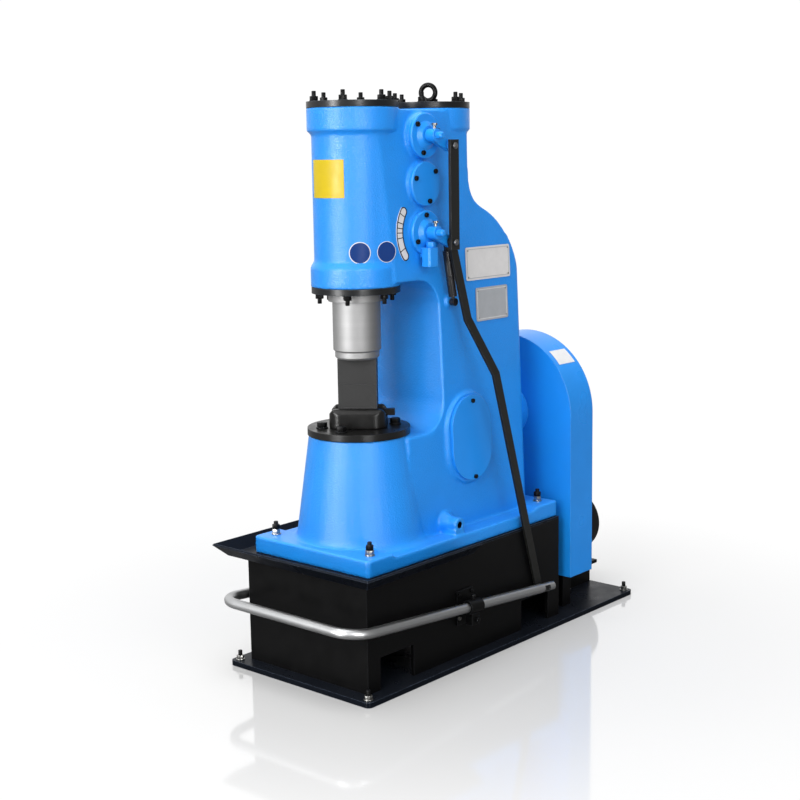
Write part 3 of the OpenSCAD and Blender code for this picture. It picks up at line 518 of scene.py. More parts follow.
class Finishes:
    """The finishes of the machine."""

    BLUE = CastEnamel("blue_enamel", "blue_enamel", (0.010, 0.262, 0.82), 0.35, specular=0.30,
                      grain=1.0, pits=0.75, pit_scale=250.0, rub=0.45, sharp=False)
    BLUE_SMALL = CastEnamel("blue_enamel_small", "blue_enamel", (0.010, 0.262, 0.82), 0.34,
                            specular=0.28, rounding=0.0025)
    BLUE_SHEET = CastEnamel("blue_sheet", "blue_enamel", (0.010, 0.252, 0.78), 0.32,
                            specular=0.25, rounding=0.004, grain=0.04)
    BLACK = SatinPaint("black_paint", "black_paint", (0.0034, 0.0034, 0.0036), 0.36,
                       specular=0.08, rounding=0.0015, rub=0.18)
    # bluish pale edges paint the edge highlight of the plate and tray
    BLACK_PLATE = SatinPaint("black_plate", "black_paint", (0.0038, 0.0054, 0.0092), 0.32,
                             specular=0.06, rounding=0.002, rub=0.8, rub_and_sheen_colour=(0.15, 0.19, 0.27))
    # bluish pale edges paint the bright rim highlight of the covers
    COVER = SatinPaint("cover_paint", "black_paint", (0.006, 0.007, 0.008), 0.34,
                       specular=0.25, rounding=0.0018, rub=0.6, rub_and_sheen_colour=(0.18, 0.23, 0.28))
    BAR = SatinPaint("bar_paint", "black_paint", (0.010, 0.010, 0.009), 0.38,
                     specular=0.20, rounding=0.0012)
    STRUT = SatinPaint("strut_paint", "black_paint", (0.010, 0.010, 0.012), 0.28, rounding=0.001)
    MOTOR = SatinPaint("motor_paint", "motor_paint", (0.0040, 0.0042, 0.0046), 0.40,
                       specular=0.12, rounding=0.001)
    TURNED = TurnedMetal("turned_steel", "turned_steel", (0.26, 0.26, 0.26), 0.62, 1.0,
                         rounding=0.0015)
    DIE = GroundSteel("die_steel", "die_steel", (0.046, 0.046, 0.046), 0.42, 0.3, 0.15,
                      rounding=0.0012)
    IRON = GroundSteel("dark_iron", "dark_iron", (0.0070, 0.0068, 0.0066), 0.34, 0.1, 0.25,
                       rounding=0.003, rub=0.05)
    PIPE = BrushedTube("zinc_pipe", "zinc_pipe", (0.43, 0.435, 0.44), 0.40, 1.0)
    ZINC = GroundSteel("zinc_nut", "turned_steel", (0.38, 0.375, 0.36), 0.34, 1.0,
                       rounding=0.0008)
    PIN = GroundSteel("dull_pin", "turned_steel", (0.22, 0.22, 0.22), 0.36, 1.0, rounding=0.0008)
    PLATE = PrintedSheet("white_plate", "white_plate", (0.68, 0.67, 0.67), 0.38, 0.0, 0.3)
    PLATE_GREY = PrintedSheet("grey_plate", "white_plate", (0.44, 0.46, 0.49), 0.40, 0.3, 0.3)
    INK = PrintedSheet("black_ink", "", (0.008, 0.009, 0.014), 0.5, specular=0.1)
    YELLOW = PrintedSheet("yellow_decal", "", (0.60, 0.44, 0.006), 0.4, specular=0.2)
    NAVY = PrintedSheet("navy_decal", "", (0.010, 0.040, 0.18), 0.35, specular=0.06)
    WHITE = PrintedSheet("white_decal", "", (0.70, 0.70, 0.71), 0.4, specular=0.2)


class Bench:
    """Small modelling bench that works with Blender's operators."""

    MERGE = 0.00002  # distance in metres within which vertices of a CAD copy are merged
    SMOOTHING = 0.5  # share of the way that a smoothing round moves a point

    @staticmethod
    def clear() -> None:
        """Leaves edit mode and selects nothing."""
        if bpy.context.object is not None and bpy.context.object.mode != "OBJECT":
            bpy.ops.object.mode_set(mode="OBJECT")
        bpy.ops.object.select_all(action="DESELECT")

    @classmethod
    def pick(cls, obj: Obj) -> None:
        """Makes one object the only selected and active one.

        Args:
            obj: object to pick.
        """
        cls.clear()
        obj.select_set(True)
        bpy.context.view_layer.objects.active = obj

    @classmethod
    @contextmanager
    def editing(cls, obj: Obj) -> Iterator[None]:
        """Opens a mesh with all of it selected, and closes it again.

        Args:
            obj: object to edit.
        Returns:
            A context in which the mesh is open.
        """
        cls.pick(obj)
        bpy.ops.object.mode_set(mode="EDIT")
        bpy.ops.mesh.select_all(action="SELECT")
        yield
        bpy.ops.object.mode_set(mode="OBJECT")

    @classmethod
    def shape(cls, obj: Obj, kind: str, **settings: object) -> Obj:
        """Shapes an object with a modifier, which is applied.

        Args:
            obj: object to shape.
            kind: kind of modifier.
            settings: properties of the modifier.
        Returns:
            The same object, picked.
        """
        cls.pick(obj)
        mod = obj.modifiers.new("shape", kind)
        for key, value in settings.items():
            setattr(mod, key, value)
        bpy.ops.object.modifier_apply(modifier=mod.name)
        return obj

    @classmethod
    def cut(cls, obj: Obj, tool: Obj, solver: str = "EXACT") -> Obj:
        """Cuts a tool out of an object and removes the tool.

        Args:
            obj: object to cut.
            tool: shape that is cut out.
            solver: way of working out the cut.
        Returns:
            The same object.
        """
        cls.shape(obj, "BOOLEAN", object=tool, operation="DIFFERENCE", solver=solver)
        cls.scrap(tool)
        return obj

    @staticmethod
    def turn_to(axis: Vector) -> Matrix:
        """Turn that points local Z along an axis."""
        aim = Vector((0, 0, 1)).rotation_difference(axis.normalized())
        return aim.to_matrix().to_4x4()

    @staticmethod
    def fresh(name: str) -> Obj:
        """Names the primitive that was just added, and returns it."""
        bpy.context.object.name = name
        return bpy.context.object

    @classmethod
    def settle(cls, obj: Obj) -> Obj:
        """Moves an object's place, turn and scale into its mesh.

        Args:
            obj: object to settle.
        Returns:
            The same object at the origin.
        """
        cls.pick(obj)
        bpy.ops.object.transform_apply(location=True, rotation=True, scale=True)
        return obj

    @classmethod
    def cylinder(cls, name: str, radius: float, height: float, sides: int = 48) -> Obj:
        """Upright cylinder that stands on the origin.

        Args:
            name: name of the object.
            radius: radius.
            height: height.
            sides: number of sides.
        Returns:
            The new object.
        """
        cls.clear()
        bpy.ops.mesh.primitive_cylinder_add(vertices=sides, radius=radius * MM, depth=height * MM,
                                            location=(0, 0, height * MM / 2))
        return cls.settle(cls.fresh(name))

    @classmethod
    def block(cls, name: str, low: Point, high: Point) -> Obj:
        """Box between two corners.

        Args:
            name: name of the object.
            low: lowest corner.
            high: highest corner.
        Returns:
            The new object.
        """
        cls.clear()
        low, high = mm(*low), mm(*high)
        centre = [(a + b) / 2 for a, b in zip(low, high)]
        bpy.ops.mesh.primitive_cube_add(size=1.0, location=centre)
        obj = cls.fresh(name)
        obj.scale = [b - a for a, b in zip(low, high)]
        return cls.settle(obj)

    @classmethod
    def bevel(cls, obj: Obj, width: float, segments: int = 2, angle: float = 30.0) -> Obj:
        """Bevels the sharp edges.

        Args:
            obj: object to bevel.
            width: width of the bevel.
            segments: number of segments.
            angle: smallest angle that is bevelled.
        Returns:
            The same object.
        """
        return cls.shape(obj, "BEVEL", width=width * MM, segments=segments, limit_method="ANGLE",
                         angle_limit=math.radians(angle))

    @classmethod
    def smooth(cls, obj: Obj, angle: float = 35.0) -> Obj:
        """Shades an object smooth up to an angle.

        Args:
            obj: object to shade.
            angle: largest angle that is shaded smooth.
        Returns:
            The same object.
        """
        cls.pick(obj)
        bpy.ops.object.shade_smooth_by_angle(angle=math.radians(angle))
        return obj

    @staticmethod
    def copy_to(obj: Obj, name: str, place: Matrix) -> Obj:
        """Copies an object with a mesh of its own and sets the copy in place.

        Args:
            obj: object to copy.
            name: name of the copy.
            place: place of the copy, which goes into its mesh.
        Returns:
            The copy.
        """
        twin = obj.copy()
        twin.data = obj.data.copy()
        twin.name = name
        twin.data.transform(place)
        bpy.context.scene.collection.objects.link(twin)
        return twin

    @classmethod
    def merged_copy(cls, node: Obj, name: str) -> Obj:
        """Copies a CAD node as a free piece with merged vertices.

        Args:
            node: CAD node to copy.
            name: name of the copy.
        Returns:
            The copy, picked.
        """
        obj = cls.copy_to(node, name, Matrix.Identity(4))
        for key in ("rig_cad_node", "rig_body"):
            if key in obj:
                del obj[key]
        obj.parent = None
        with cls.editing(obj):
            bpy.ops.mesh.remove_doubles(threshold=cls.MERGE)
        return obj

    @classmethod
    def soften(cls, obj: Obj, voxel: float, rounds: int) -> None:
        """Remeshes a piece into even cells and smooths its edges.

        Args:
            obj: piece to soften.
            voxel: size of the cells in metres.
            rounds: smoothing rounds.
        """
        cls.shape(obj, "REMESH", mode="VOXEL", voxel_size=voxel, use_smooth_shade=True)
        cls.shape(obj, "SMOOTH", factor=cls.SMOOTHING, iterations=rounds)

    @classmethod
    def join(cls, name: str, parts: list[Obj]) -> Obj:
        """Joins objects into one.

        Args:
            name: name of the joined object.
            parts: objects to join, at least two.
        Returns:
            The joined object.
        """
        cls.clear()
        for part in parts:
            part.select_set(True)
        bpy.context.view_layer.objects.active = parts[0]
        bpy.ops.object.join()
        parts[0].name = parts[0].data.name = name
        return parts[0]

    @staticmethod
    def paint(obj: Obj, finish: Finish) -> Obj:
        """Gives an object one finish.

        Args:
            obj: object to paint.
            finish: finish to use.
        Returns:
            The same object.
        """
        obj.data.materials.clear()
        obj.data.materials.append(finish.material())
        return obj

    @classmethod
    def fix(cls, obj: Obj, finish: Finish, body: str = "frame") -> Obj:
        """Paints a piece, lets it ride on a body and returns it."""
        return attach(cls.paint(obj, finish), body)

    @classmethod
    def piece(cls, name: str, parts: list[Obj], finish: Finish, body: str = "frame") -> Obj:
        """Joins parts into one painted piece that rides on a body, and returns it."""
        return cls.fix(cls.join(name, parts), finish, body)

    @staticmethod
    def scrap(obj: Obj) -> None:
        """Removes a pattern or tool that has been used."""
        bpy.data.objects.remove(obj)


class Fasteners:
    """Bolts, nuts and screws, each modelled once as a pattern that points up."""

    HEX_CHAMFER = 0.08  # chamfer of a hexagon, as a share of its height
    HEX_SHADE = 30.0  # largest angle that is shaded smooth on a hexagon
    HEAD_CHAMFER = 0.14  # chamfer of a screw head, as a share of its radius
    SOCKET_WIDTH = 0.55  # radius of a hexagon socket, as a share of the head's radius
    SOCKET_FLOOR = 0.45  # floor of a hexagon socket, as a share of the head's height
    ROUND_EDGE = 50.0  # smallest angle that is chamfered on a round pattern
    ROUND_SHADE = 40.0  # largest angle that is shaded smooth on a round pattern

    def __init__(self) -> None:
        """Starts with no patterns."""
        self.patterns: dict[str, Obj] = {}

    def hex(self, key: str, flats: float, height: float) -> None:
        """Models a hexagon with chamfered corners.

        Args:
            key: name of the pattern.
            flats: width across flats.
            height: height.
        """
        if key not in self.patterns:
            obj = Bench.cylinder(key, flats / math.sqrt(3.0), height, 6)
            Bench.bevel(obj, height * self.HEX_CHAMFER)
            self.patterns[key] = Bench.smooth(obj, self.HEX_SHADE)

    def round(self, key: str, radius: float, height: float, chamfer: float) -> None:
        """Models a round pin, stud or washer with a chamfer.

        Args:
            key: name of the pattern.
            radius: radius.
            height: height.
            chamfer: width of the chamfer.
        """
        if key not in self.patterns:
            obj = Bench.cylinder(key, radius, height, 32)
            Bench.bevel(obj, chamfer, angle=self.ROUND_EDGE)
            self.patterns[key] = Bench.smooth(obj, self.ROUND_SHADE)

    def socket(self, key: str, radius: float, height: float) -> None:
        """Models a round screw head with a hexagon socket sunk into it.

        Args:
            key: name of the pattern.
            radius: radius of the head.
            height: height of the head.
        """
        if key not in self.patterns:
            obj = Bench.cylinder(key, radius, height, 30)
            Bench.bevel(obj, radius * self.HEAD_CHAMFER, angle=self.ROUND_EDGE)
            tool = Bench.cylinder(key + "_tool", radius * self.SOCKET_WIDTH, height, 6)
            tool.data.transform(move(0, 0, height * self.SOCKET_FLOOR))
            self.patterns[key] = Bench.smooth(Bench.cut(obj, tool), self.ROUND_SHADE)

    def set(self, key: str, at: Point, axis: Vector | Axis = Axis.UP, spin: float = 0.0) -> Obj:
        """Copies a pattern to a place.

        Args:
            key: name of the pattern.
            at: foot of the copy.
            axis: direction that it points to.
            spin: turn about that direction.
        Returns:
            The copy.
        """
        aim = Vector(axis.value) if isinstance(axis, Axis) else axis
        turn = Bench.turn_to(aim) @ Matrix.Rotation(math.radians(spin), 4, "Z")
        return Bench.copy_to(self.patterns[key], key, move(*at) @ turn)

    def tidy(self) -> None:
        """Removes the patterns once all copies are made."""
        for obj in self.patterns.values():
            Bench.scrap(obj)
        self.patterns.clear()


@dataclass
class Casting:
    """The C-frame casting with soft cast edges, in three stacked pieces.

    Attributes:
        voxel: size of the remesh cells in metres.
        rounds: smoothing rounds that soften the edges.
        plugs: radius, axis and foot of the plugs that close the hidden bores.
        plug_top: top of the plugs.
        lug_x: inner and outer ends of the webs under the side lugs.
        lug_y: front and rear of the webs.
        lug_z: foot and top of the webs.
        bore_r: radius of the bores in the side lugs.
        bore_z: height of those bores.
        drill: length of the drill that cuts them, and how deep it goes into the lug.
        shade_sleeve: length of the dark sleeve that paints the shade in each bore, and how deep it
            goes into the lug.
        shade_sleeve_wall: how far that sleeve's outside and inside stand off the bore.
        shade_sleeve_floor: thickness of that sleeve's closed end.
        blends: low and high corners of the boxes that hold soft blends, on either side.
        blend_fade: distance over which a blend fades in from the faces of its box.
        blend_rounds: smoothing rounds of the blends.
        cuts: names of the pieces with their lower and upper cuts.
    """

    voxel: float = 0.0038
    rounds: int = 1
    plugs: dict[str, Point] = field(default_factory=lambda: {
        "ram_plug": (70.0, RAM_Y, 1022.0), "comp_plug": (80.0, COMPRESSOR_Y, 1232.0)})
    plug_top: float = 1475.6
    lug_x: tuple[float, float] = (120.0, 202.0)
    lug_y: tuple[float, float] = (-195.0, -155.0)
    lug_z: tuple[float, float] = (330.0, 362.0)
    bore_r: float = 9.5
    bore_z: float = 373.0
    drill: tuple[float, float] = (46.0, 40.0)
    shade_sleeve: tuple[float, float] = (39.0, 41.0)
    shade_sleeve_wall: tuple[float, float] = (0.2, -0.5)
    shade_sleeve_floor: float = 2.0
    blends: tuple[tuple[Point, Point], ...] = (
        ((70.0, -405.0, 1082.0), (200.0, -280.0, 1408.0)),
        ((84.0, -320.0, 380.0), (200.0, -212.0, 634.0)),
        ((84.0, -320.0, 412.0), (200.0, -110.0, 634.0)))
    blend_fade: float = 18.0
    blend_rounds: int = 24
    cuts: dict[str, tuple[float, float]] = field(default_factory=lambda: {
        "casting_foot": (0.0, 700.0), "casting_throat": (700.0, 1130.0),
        "casting_head": (1130.0, 2000.0)})

    def build(self, nodes: dict[str, Obj]) -> list[Obj]:
        """Copies the CAD casting, closes the hidden bores and softens the edges.

        Args:
            nodes: CAD nodes of the frame.
        Returns:
            The soft pieces that stand for the CAD node, and the dark sleeves that paint the shade
            in the lug bores.
        """
        parts = [Bench.merged_copy(nodes["hammer_frame"], "soft_casting")]
        for name, (radius, y, low) in self.plugs.items():
            plug = Bench.cylinder(name, radius, self.plug_top - low, 64)
            plug.data.transform(move(0, y, low))
            parts.append(plug)
        for side in (-1.0, 1.0):
            inner, outer = sorted(side * x for x in self.lug_x)
            parts.append(Bench.block("lug_web", (inner, self.lug_y[0], self.lug_z[0]),
                                     (outer, self.lug_y[1], self.lug_z[1])))
        body = Bench.join("soft_casting", parts)
        Bench.soften(body, self.voxel, self.rounds)
        self.blend(body)
        self.bore(body)
        Bench.pick(body)
        bpy.ops.object.shade_smooth()
        made = [self.slice(body, name, *ends) for name, ends in self.cuts.items()]
        Bench.scrap(body)
        return [*made, self.shade_sleeves()]

    def blend(self, body: Obj) -> None:
        """Softens the long creases where the arm's sides and the cone run into the column.

        Args:
            body: whole soft casting.
        """
        group = body.vertex_groups.new(name="blend")
        for v in body.data.vertices:
            spot = (abs(v.co.x) / MM, v.co.y / MM, v.co.z / MM)
            depth = max(min(min(s - a, b - s) for s, a, b in zip(spot, low, high))
                        for low, high in self.blends)
            if depth > 0.0:
                group.add([v.index], min(1.0, depth / self.blend_fade), "REPLACE")
        Bench.shape(body, "SMOOTH", factor=Bench.SMOOTHING, iterations=self.blend_rounds,
                    vertex_group=group.name)

    def into_lug(self, obj: Obj, axis: Axis, depth: float) -> Obj:
        """Sets an upright tool or sleeve into a lug.

        Args:
            obj: piece to set.
            axis: side of the machine that the lug is on.
            depth: how deep it goes into the lug.
        Returns:
            The same piece.
        """
        foot = move(axis.value[0] * (self.lug_x[1] - depth), sum(self.lug_y) / 2, self.bore_z)
        obj.data.transform(foot @ Bench.turn_to(Vector(axis.value)))
        return obj

    def bore(self, body: Obj) -> None:
        """Cuts the bores of the two side lugs clean again after the softening.

        Args:
            body: whole soft casting.
        """
        length, depth = self.drill
        drills = [self.into_lug(Bench.cylinder("drill", self.bore_r, length), axis, depth)
                  for axis in (Axis.RIGHT, Axis.LEFT)]
        Bench.cut(body, Bench.join("drill", drills), "FAST")

    def shade_sleeves(self) -> Obj:
        """Dark sleeves in the two lug bores that paint the shade inside them.

        Returns:
            The joined shade sleeves.
        """
        length, depth = self.shade_sleeve
        parts = []
        for axis in (Axis.RIGHT, Axis.LEFT):
            shade_sleeve, tool = (Bench.cylinder("shade_sleeve", self.bore_r + off, length)
                            for off in self.shade_sleeve_wall)
            tool.data.transform(move(0, 0, self.shade_sleeve_floor))
            self.into_lug(Bench.cut(shade_sleeve, tool), axis, depth)
            parts.append(Bench.smooth(shade_sleeve, 40))
        # painted shade: near-black iron cups inside the bores
        return Bench.piece("lug_bore_shade", parts, Finishes.IRON)

    def slice(self, body: Obj, name: str, low: float, high: float) -> Obj:
        """Takes the part of the casting between two level cuts.

        Args:
            body: whole soft casting.
            name: name of the piece.
            low: lower cut.
            high: upper cut.
        Returns:
            The closed piece, painted and fixed to the frame.
        """
        piece = Bench.copy_to(body, name, Matrix.Identity(4))
        for z, axis in ((low, Axis.DOWN), (high, Axis.UP)):
            with Bench.editing(piece):
                bpy.ops.mesh.bisect(plane_co=mm(0, 0, z), plane_no=axis.value, use_fill=True,
                                    clear_outer=True)
        Bench.shape(piece, "DATA_TRANSFER", object=body, use_loop_data=True,
                    data_types_loops={"CUSTOM_NORMAL"}, loop_mapping="POLYINTERP_NEAREST")
        Bench.fix(piece, Finishes.BLUE)
        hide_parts("hammer_frame")
        return piece


@dataclass
class Holder:
    """The die holder with its round forged corners.

    Attributes:
        voxel: size of the remesh cells in metres.
        rounds: smoothing rounds that round the corners.
    """

    voxel: float = 0.0018
    rounds: int = 14

    def build(self, nodes: dict[str, Obj]) -> Obj:
        """Copies the CAD holder and rounds it.

        Args:
            nodes: CAD nodes of the frame.
        Returns:
            The soft holder that stands for the CAD node.
        """
        obj = Bench.merged_copy(nodes["die_holder"], "round_holder")
        Bench.soften(obj, self.voxel, self.rounds)
        Bench.fix(obj, Finishes.IRON)
        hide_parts("die_holder")
        return obj


@dataclass
class CoverStuds:
    """Studs and nuts round one of the round covers.

    Attributes:
        name: name of the joined piece.
        y: axis of the cover.
        z: face that the nuts stand on.
        ring: radius of the stud circle.
        axis: direction of the studs.
        count: number of studs.
        washer: thickness of the washers.
        spin: turn from each nut to the next.
    """

    name: str
    y: float
    z: float
    ring: float
    axis: Axis = Axis.UP
    count: int = 6
    washer: float = 2.0
    spin: float = 17.0

    def build(self, kit: Fasteners) -> list[Obj]:
        """Places the studs, nuts and washers.

        Args:
            kit: fastener patterns.
        Returns:
            The joined studs.
        """
        kit.round("cover_stud", radius=5.6, height=26, chamfer=1.2)
        kit.hex("cover_nut", flats=19, height=11)
        kit.round("cover_washer", radius=12, height=self.washer, chamfer=0.4)
        seat = self.z + self.washer * self.axis.value[2]
        parts = []
        for i in range(self.count):
            x, y = polar(self.ring, i * 360.0 / self.count) + Vector((0.0, self.y))
            parts += [kit.set("cover_stud", (x, y, self.z), self.axis),
                      kit.set("cover_washer", (x, y, self.z), self.axis),
                      kit.set("cover_nut", (x, y, seat), self.axis, self.spin * i)]
        return [Bench.piece(self.name, parts, Finishes.BLACK)]


@dataclass
class FootHardware:
    """Foot studs of the casting and anchor bolts of the base plate.

    Attributes:
        studs: places of the foot studs.
        anchors: places of the anchor bolts.
        pad_z: top of the corner pads.
        plate_z: top of the base plate.
        foot_washer: thickness of the foot studs' washers.
        lock_lift: foot of the lock nuts above the pads.
        anchor_washer: thickness of the anchor bolts' washers.
    """

    studs: tuple[tuple[float, float], ...] = ((170, -500), (-170, -500), (165, 228), (-165, 228))
    anchors: tuple[tuple[float, float], ...] = ((235, -586), (-235, -586), (235, 586), (-235, 586))
    pad_z: float = 356.0
    plate_z: float = 14.0
    foot_washer: float = 3.0
    lock_lift: float = 15.5
    anchor_washer: float = 2.5

    def build(self, kit: Fasteners) -> list[Obj]:
        """Places studs with double nuts and the anchor bolts.

        Args:
            kit: fastener patterns.
        Returns:
            The joined pieces.
        """
        kit.round("foot_washer", radius=13, height=self.foot_washer, chamfer=0.6)
        kit.hex("foot_nut", flats=20, height=12)
        kit.hex("lock_nut", flats=19, height=12)
        kit.round("foot_stud", radius=6, height=36, chamfer=1.2)
        kit.round("anchor_washer", radius=12, height=self.anchor_washer, chamfer=0.6)
        kit.hex("anchor_nut", flats=18, height=10)
        kit.round("anchor_stud", radius=5.6, height=26, chamfer=1.4)
        bright, dark = [], []
        for i, (x, y) in enumerate(self.studs):
            z = self.pad_z
            bright += [kit.set("foot_washer", (x, y, z)),
                       kit.set("foot_nut", (x, y, z + self.foot_washer), spin=13 + 40 * i)]
            dark += [kit.set("lock_nut", (x, y, z + self.lock_lift), spin=35 + 25 * i),
                     kit.set("foot_stud", (x, y, z))]
        for i, (x, y) in enumerate(self.anchors):
            z = self.plate_z
            bright += [kit.set("anchor_washer", (x, y, z)),
                       kit.set("anchor_nut", (x, y, z + self.anchor_washer), spin=20 * i)]
            dark.append(kit.set("anchor_stud", (x, y, z)))
        return [Bench.piece("floor_nuts", bright, Finishes.ZINC),
                Bench.piece("floor_studs", dark, Finishes.BLACK)]


@dataclass
class ValveHardware:
    """Screws of the valve covers, set screws, pin heads and the outlet's plug.

    Attributes:
        face: outer face of the covers.
        ring: radius of the screw circle.
        pin_y: axis of the lever pins.
        pin_x: foot of the pin heads.
        pin_drop: how far the pins are below their spindles.
        hub_x: middle of the set screws.
        shank_lift: foot of the set screws' shanks above their spindles.
        head_lift: foot of the set screws' heads above their spindles.
        outlet: foot of the plug in the exhaust outlet.
        screws: height of each cover with the angles of its screws.
        levers: body of each lever with the height of its spindle.
    """

    face: float = 129.9
    ring: float = 46.0
    pin_y: float = -153.0
    pin_x: float = 178.9
    pin_drop: float = 27.0
    hub_x: float = 158.0
    shank_lift: float = 14.0
    head_lift: float = 25.0
    outlet: Point = (146.0, -216.0, 1116.0)
    screws: dict[float, Point] = field(default_factory=lambda: {
        UPPER_VALVE_Z: (141, -108, 16), BLANK_VALVE_Z: (161, 43, -78),
        LOWER_VALVE_Z: (96, -152, -24)})
    levers: dict[str, float] = field(default_factory=lambda: {
        "lower_lever": LOWER_VALVE_Z, "upper_lever": UPPER_VALVE_Z})

    def build(self, kit: Fasteners) -> list[Obj]:
        """Places the screws on the covers and levers.

        Args:
            kit: fastener patterns.
        Returns:
            The finished pieces.
        """
        kit.socket("valve_screw", radius=6.5, height=6)
        kit.hex("set_screw", flats=13, height=6)
        kit.round("set_shank", radius=4, height=12, chamfer=0.5)
        kit.round("pin_cap", radius=8.3, height=3.4, chamfer=0.8)
        kit.hex("pin_hex", flats=11, height=5)
        kit.hex("outlet_plug", flats=22, height=15)
        screws = []
        for height, angles in self.screws.items():
            for a in angles:
                y, z = polar(self.ring, a) + Vector((VALVE_Y, height))
                screws.append(kit.set("valve_screw", (self.face, y, z), Axis.RIGHT, a))
        made = [Bench.piece("valve_screws", screws, Finishes.BLACK),
                Bench.fix(kit.set("outlet_plug", self.outlet, spin=8), Finishes.BLUE_SMALL)]
        for body, z in self.levers.items():
            screw = [kit.set("set_shank", (self.hub_x, VALVE_Y, z + self.shank_lift)),
                     kit.set("set_screw", (self.hub_x, VALVE_Y, z + self.head_lift), spin=11)]
            at = (self.pin_x, self.pin_y, z - self.pin_drop)
            pin = [kit.set("pin_cap", at, Axis.RIGHT), kit.set("pin_hex", at, Axis.RIGHT, 9)]
            made += [Bench.piece(body + "_screw", screw, Finishes.PIN, body),
                     Bench.piece(body + "_pin", pin, Finishes.PIN, body)]
        return made


@dataclass
class AnvilBolts:
    """Hold-down bolts of the anvil plate, in two pairs round the die holder.

    Attributes:
        z: top of the anvil plate.
        ring: radius of the bolt circle.
        angles: angles of the bolts.
        washer: thickness of the washers.
    """

    z: float = 648.0
    ring: float = 99.0
    angles: tuple[float, ...] = (55.0, 105.0, 235.0, 285.0)
    washer: float = 3.0

    def build(self, kit: Fasteners) -> list[Obj]:
        """Places the bolts with their washers.

        Args:
            kit: fastener patterns.
        Returns:
            The joined bolts.
        """
        kit.round("anvil_washer", radius=16, height=self.washer, chamfer=0.6)
        kit.hex("anvil_bolt", flats=24, height=13)
        parts = []
        for a in self.angles:
            x, y = polar(self.ring, a) + Vector((0.0, RAM_Y))
            parts += [kit.set("anvil_washer", (x, y, self.z)),
                      kit.set("anvil_bolt", (x, y, self.z + self.washer), spin=a + 12)]
        return [Bench.piece("anvil_bolts", parts, Finishes.BLACK)]


@dataclass
class TreadleHardware:
    """Set screws of the pivot clamps, ear bolts and bracket bolts.

    Attributes:
        x: axis of the treadle pipe.
        y: pivot of the treadle.
        z: height of the pivot.
        clamp_r: outer radius of the clamps.
        shank_sink: how far the set screws' shanks go into the clamps.
        head_lift: foot of the set screws' heads above the clamps.
        ear_t: thickness of the clamps' ears.
        ear: place of the ear bolts off the pivot, to the rear and up.
        bracket_x: outer face of the brackets.
        bright: place of the bright bolt of each bracket, off the pivot.
        dark: places of its dark bolts.
    """

    x: float = 248.0
    y: float = -180.0
    z: float = 157.0
    clamp_r: float = 19.5
    shank_sink: float = 2.0
    head_lift: float = 7.0
    ear_t: float = 22.0
    ear: tuple[float, float] = (3.0, -36.0)
    bracket_x: float = 221.0
    bright: tuple[float, float] = (-27, -32)
    dark: tuple[tuple[float, float], ...] = ((27, -32), (-27, 32), (27, 32))

    def build(self, kit: Fasteners) -> list[Obj]:
        """Places the screws on both sides.

        Args:
            kit: fastener patterns.
        Returns:
            The moving and the fixed screws.
        """
        kit.round("clamp_shank", radius=4.5, height=10, chamfer=0.6)
        kit.hex("clamp_head", flats=13, height=7)
        kit.hex("bracket_head", flats=10, height=5)
        moving, fixed, bright = [], [], []
        top = self.z + self.clamp_r
        for side, out in ((1, Axis.RIGHT), (-1, Axis.LEFT)):
            x = side * self.x
            ear = (x + side * self.ear_t / 2, self.y + self.ear[0], self.z + self.ear[1])
            moving += [kit.set("clamp_shank", (x, self.y, top - self.shank_sink)),
                       kit.set("clamp_head", (x, self.y, top + self.head_lift), spin=20),
                       kit.set("clamp_head", ear, out, 10)]
            for y, z in (self.bright, *self.dark):
                at = (side * self.bracket_x, self.y + y, self.z + z)
                heads = bright if (y, z) == self.bright else fixed
                heads.append(kit.set("bracket_head", at, out, y + z))
        return [Bench.piece("clamp_screws", moving, Finishes.BLACK, "treadle"),
                Bench.piece("bracket_bolts", fixed, Finishes.BLACK),
                Bench.piece("bracket_studs", bright, Finishes.ZINC)]


@dataclass
class MotorHardware:
    """Foot bolts of the motor and the lid and gland of its terminal box.

    Attributes:
        stand_z: top of the motor stand.
        feet: places of the foot bolts.
        washer: thickness of the washers.
        lid_low: lowest corner of the terminal lid.
        lid_high: highest corner of the terminal lid.
        lid_edge: distance of the lid's screws from its edges.
        gland: foot of the cable gland.
    """

    stand_z: float = 88.0
    feet: tuple[tuple[float, float], ...] = ((104, 470), (-104, 470), (104, 556), (-104, 556))
    washer: float = 2.0
    lid_low: Point = (-48.0, 469.0, 318.0)
    lid_high: Point = (48.0, 563.0, 328.0)
    lid_edge: float = 9.0
    gland: Point = (46.0, 516.0, 290.0)

    def build(self, kit: Fasteners) -> list[Obj]:
        """Places the bolts, the lid and the gland.

        Args:
            kit: fastener patterns.
        Returns:
            The finished pieces.
        """
        kit.round("motor_washer", radius=11, height=self.washer, chamfer=0.4)
        kit.hex("motor_bolt", flats=16, height=9)
        kit.socket("lid_screw", radius=4.5, height=4)
        kit.hex("gland_nut", flats=24, height=14)
        kit.round("gland_cap", radius=9, height=24, chamfer=2)
        bolts = []
        for i, (x, y) in enumerate(self.feet):
            bolts += [kit.set("motor_washer", (x, y, self.stand_z)),
                      kit.set("motor_bolt", (x, y, self.stand_z + self.washer), spin=21 * i)]
        lid = Bench.block("terminal_lid", self.lid_low, self.lid_high)
        Bench.bevel(lid, width=3.0, segments=3)
        trim = [kit.set("lid_screw", (x, y, self.lid_high[2]), spin=x)
                for x in (self.lid_low[0] + self.lid_edge, self.lid_high[0] - self.lid_edge)
                for y in (self.lid_low[1] + self.lid_edge, self.lid_high[1] - self.lid_edge)]
        trim += [kit.set(key, self.gland, Axis.RIGHT, 7) for key in ("gland_nut", "gland_cap")]
        return [Bench.piece("motor_bolts", bolts, Finishes.ZINC),
                Bench.fix(Bench.smooth(lid), Finishes.MOTOR),
                Bench.piece("terminal_trim", trim, Finishes.BLACK)]


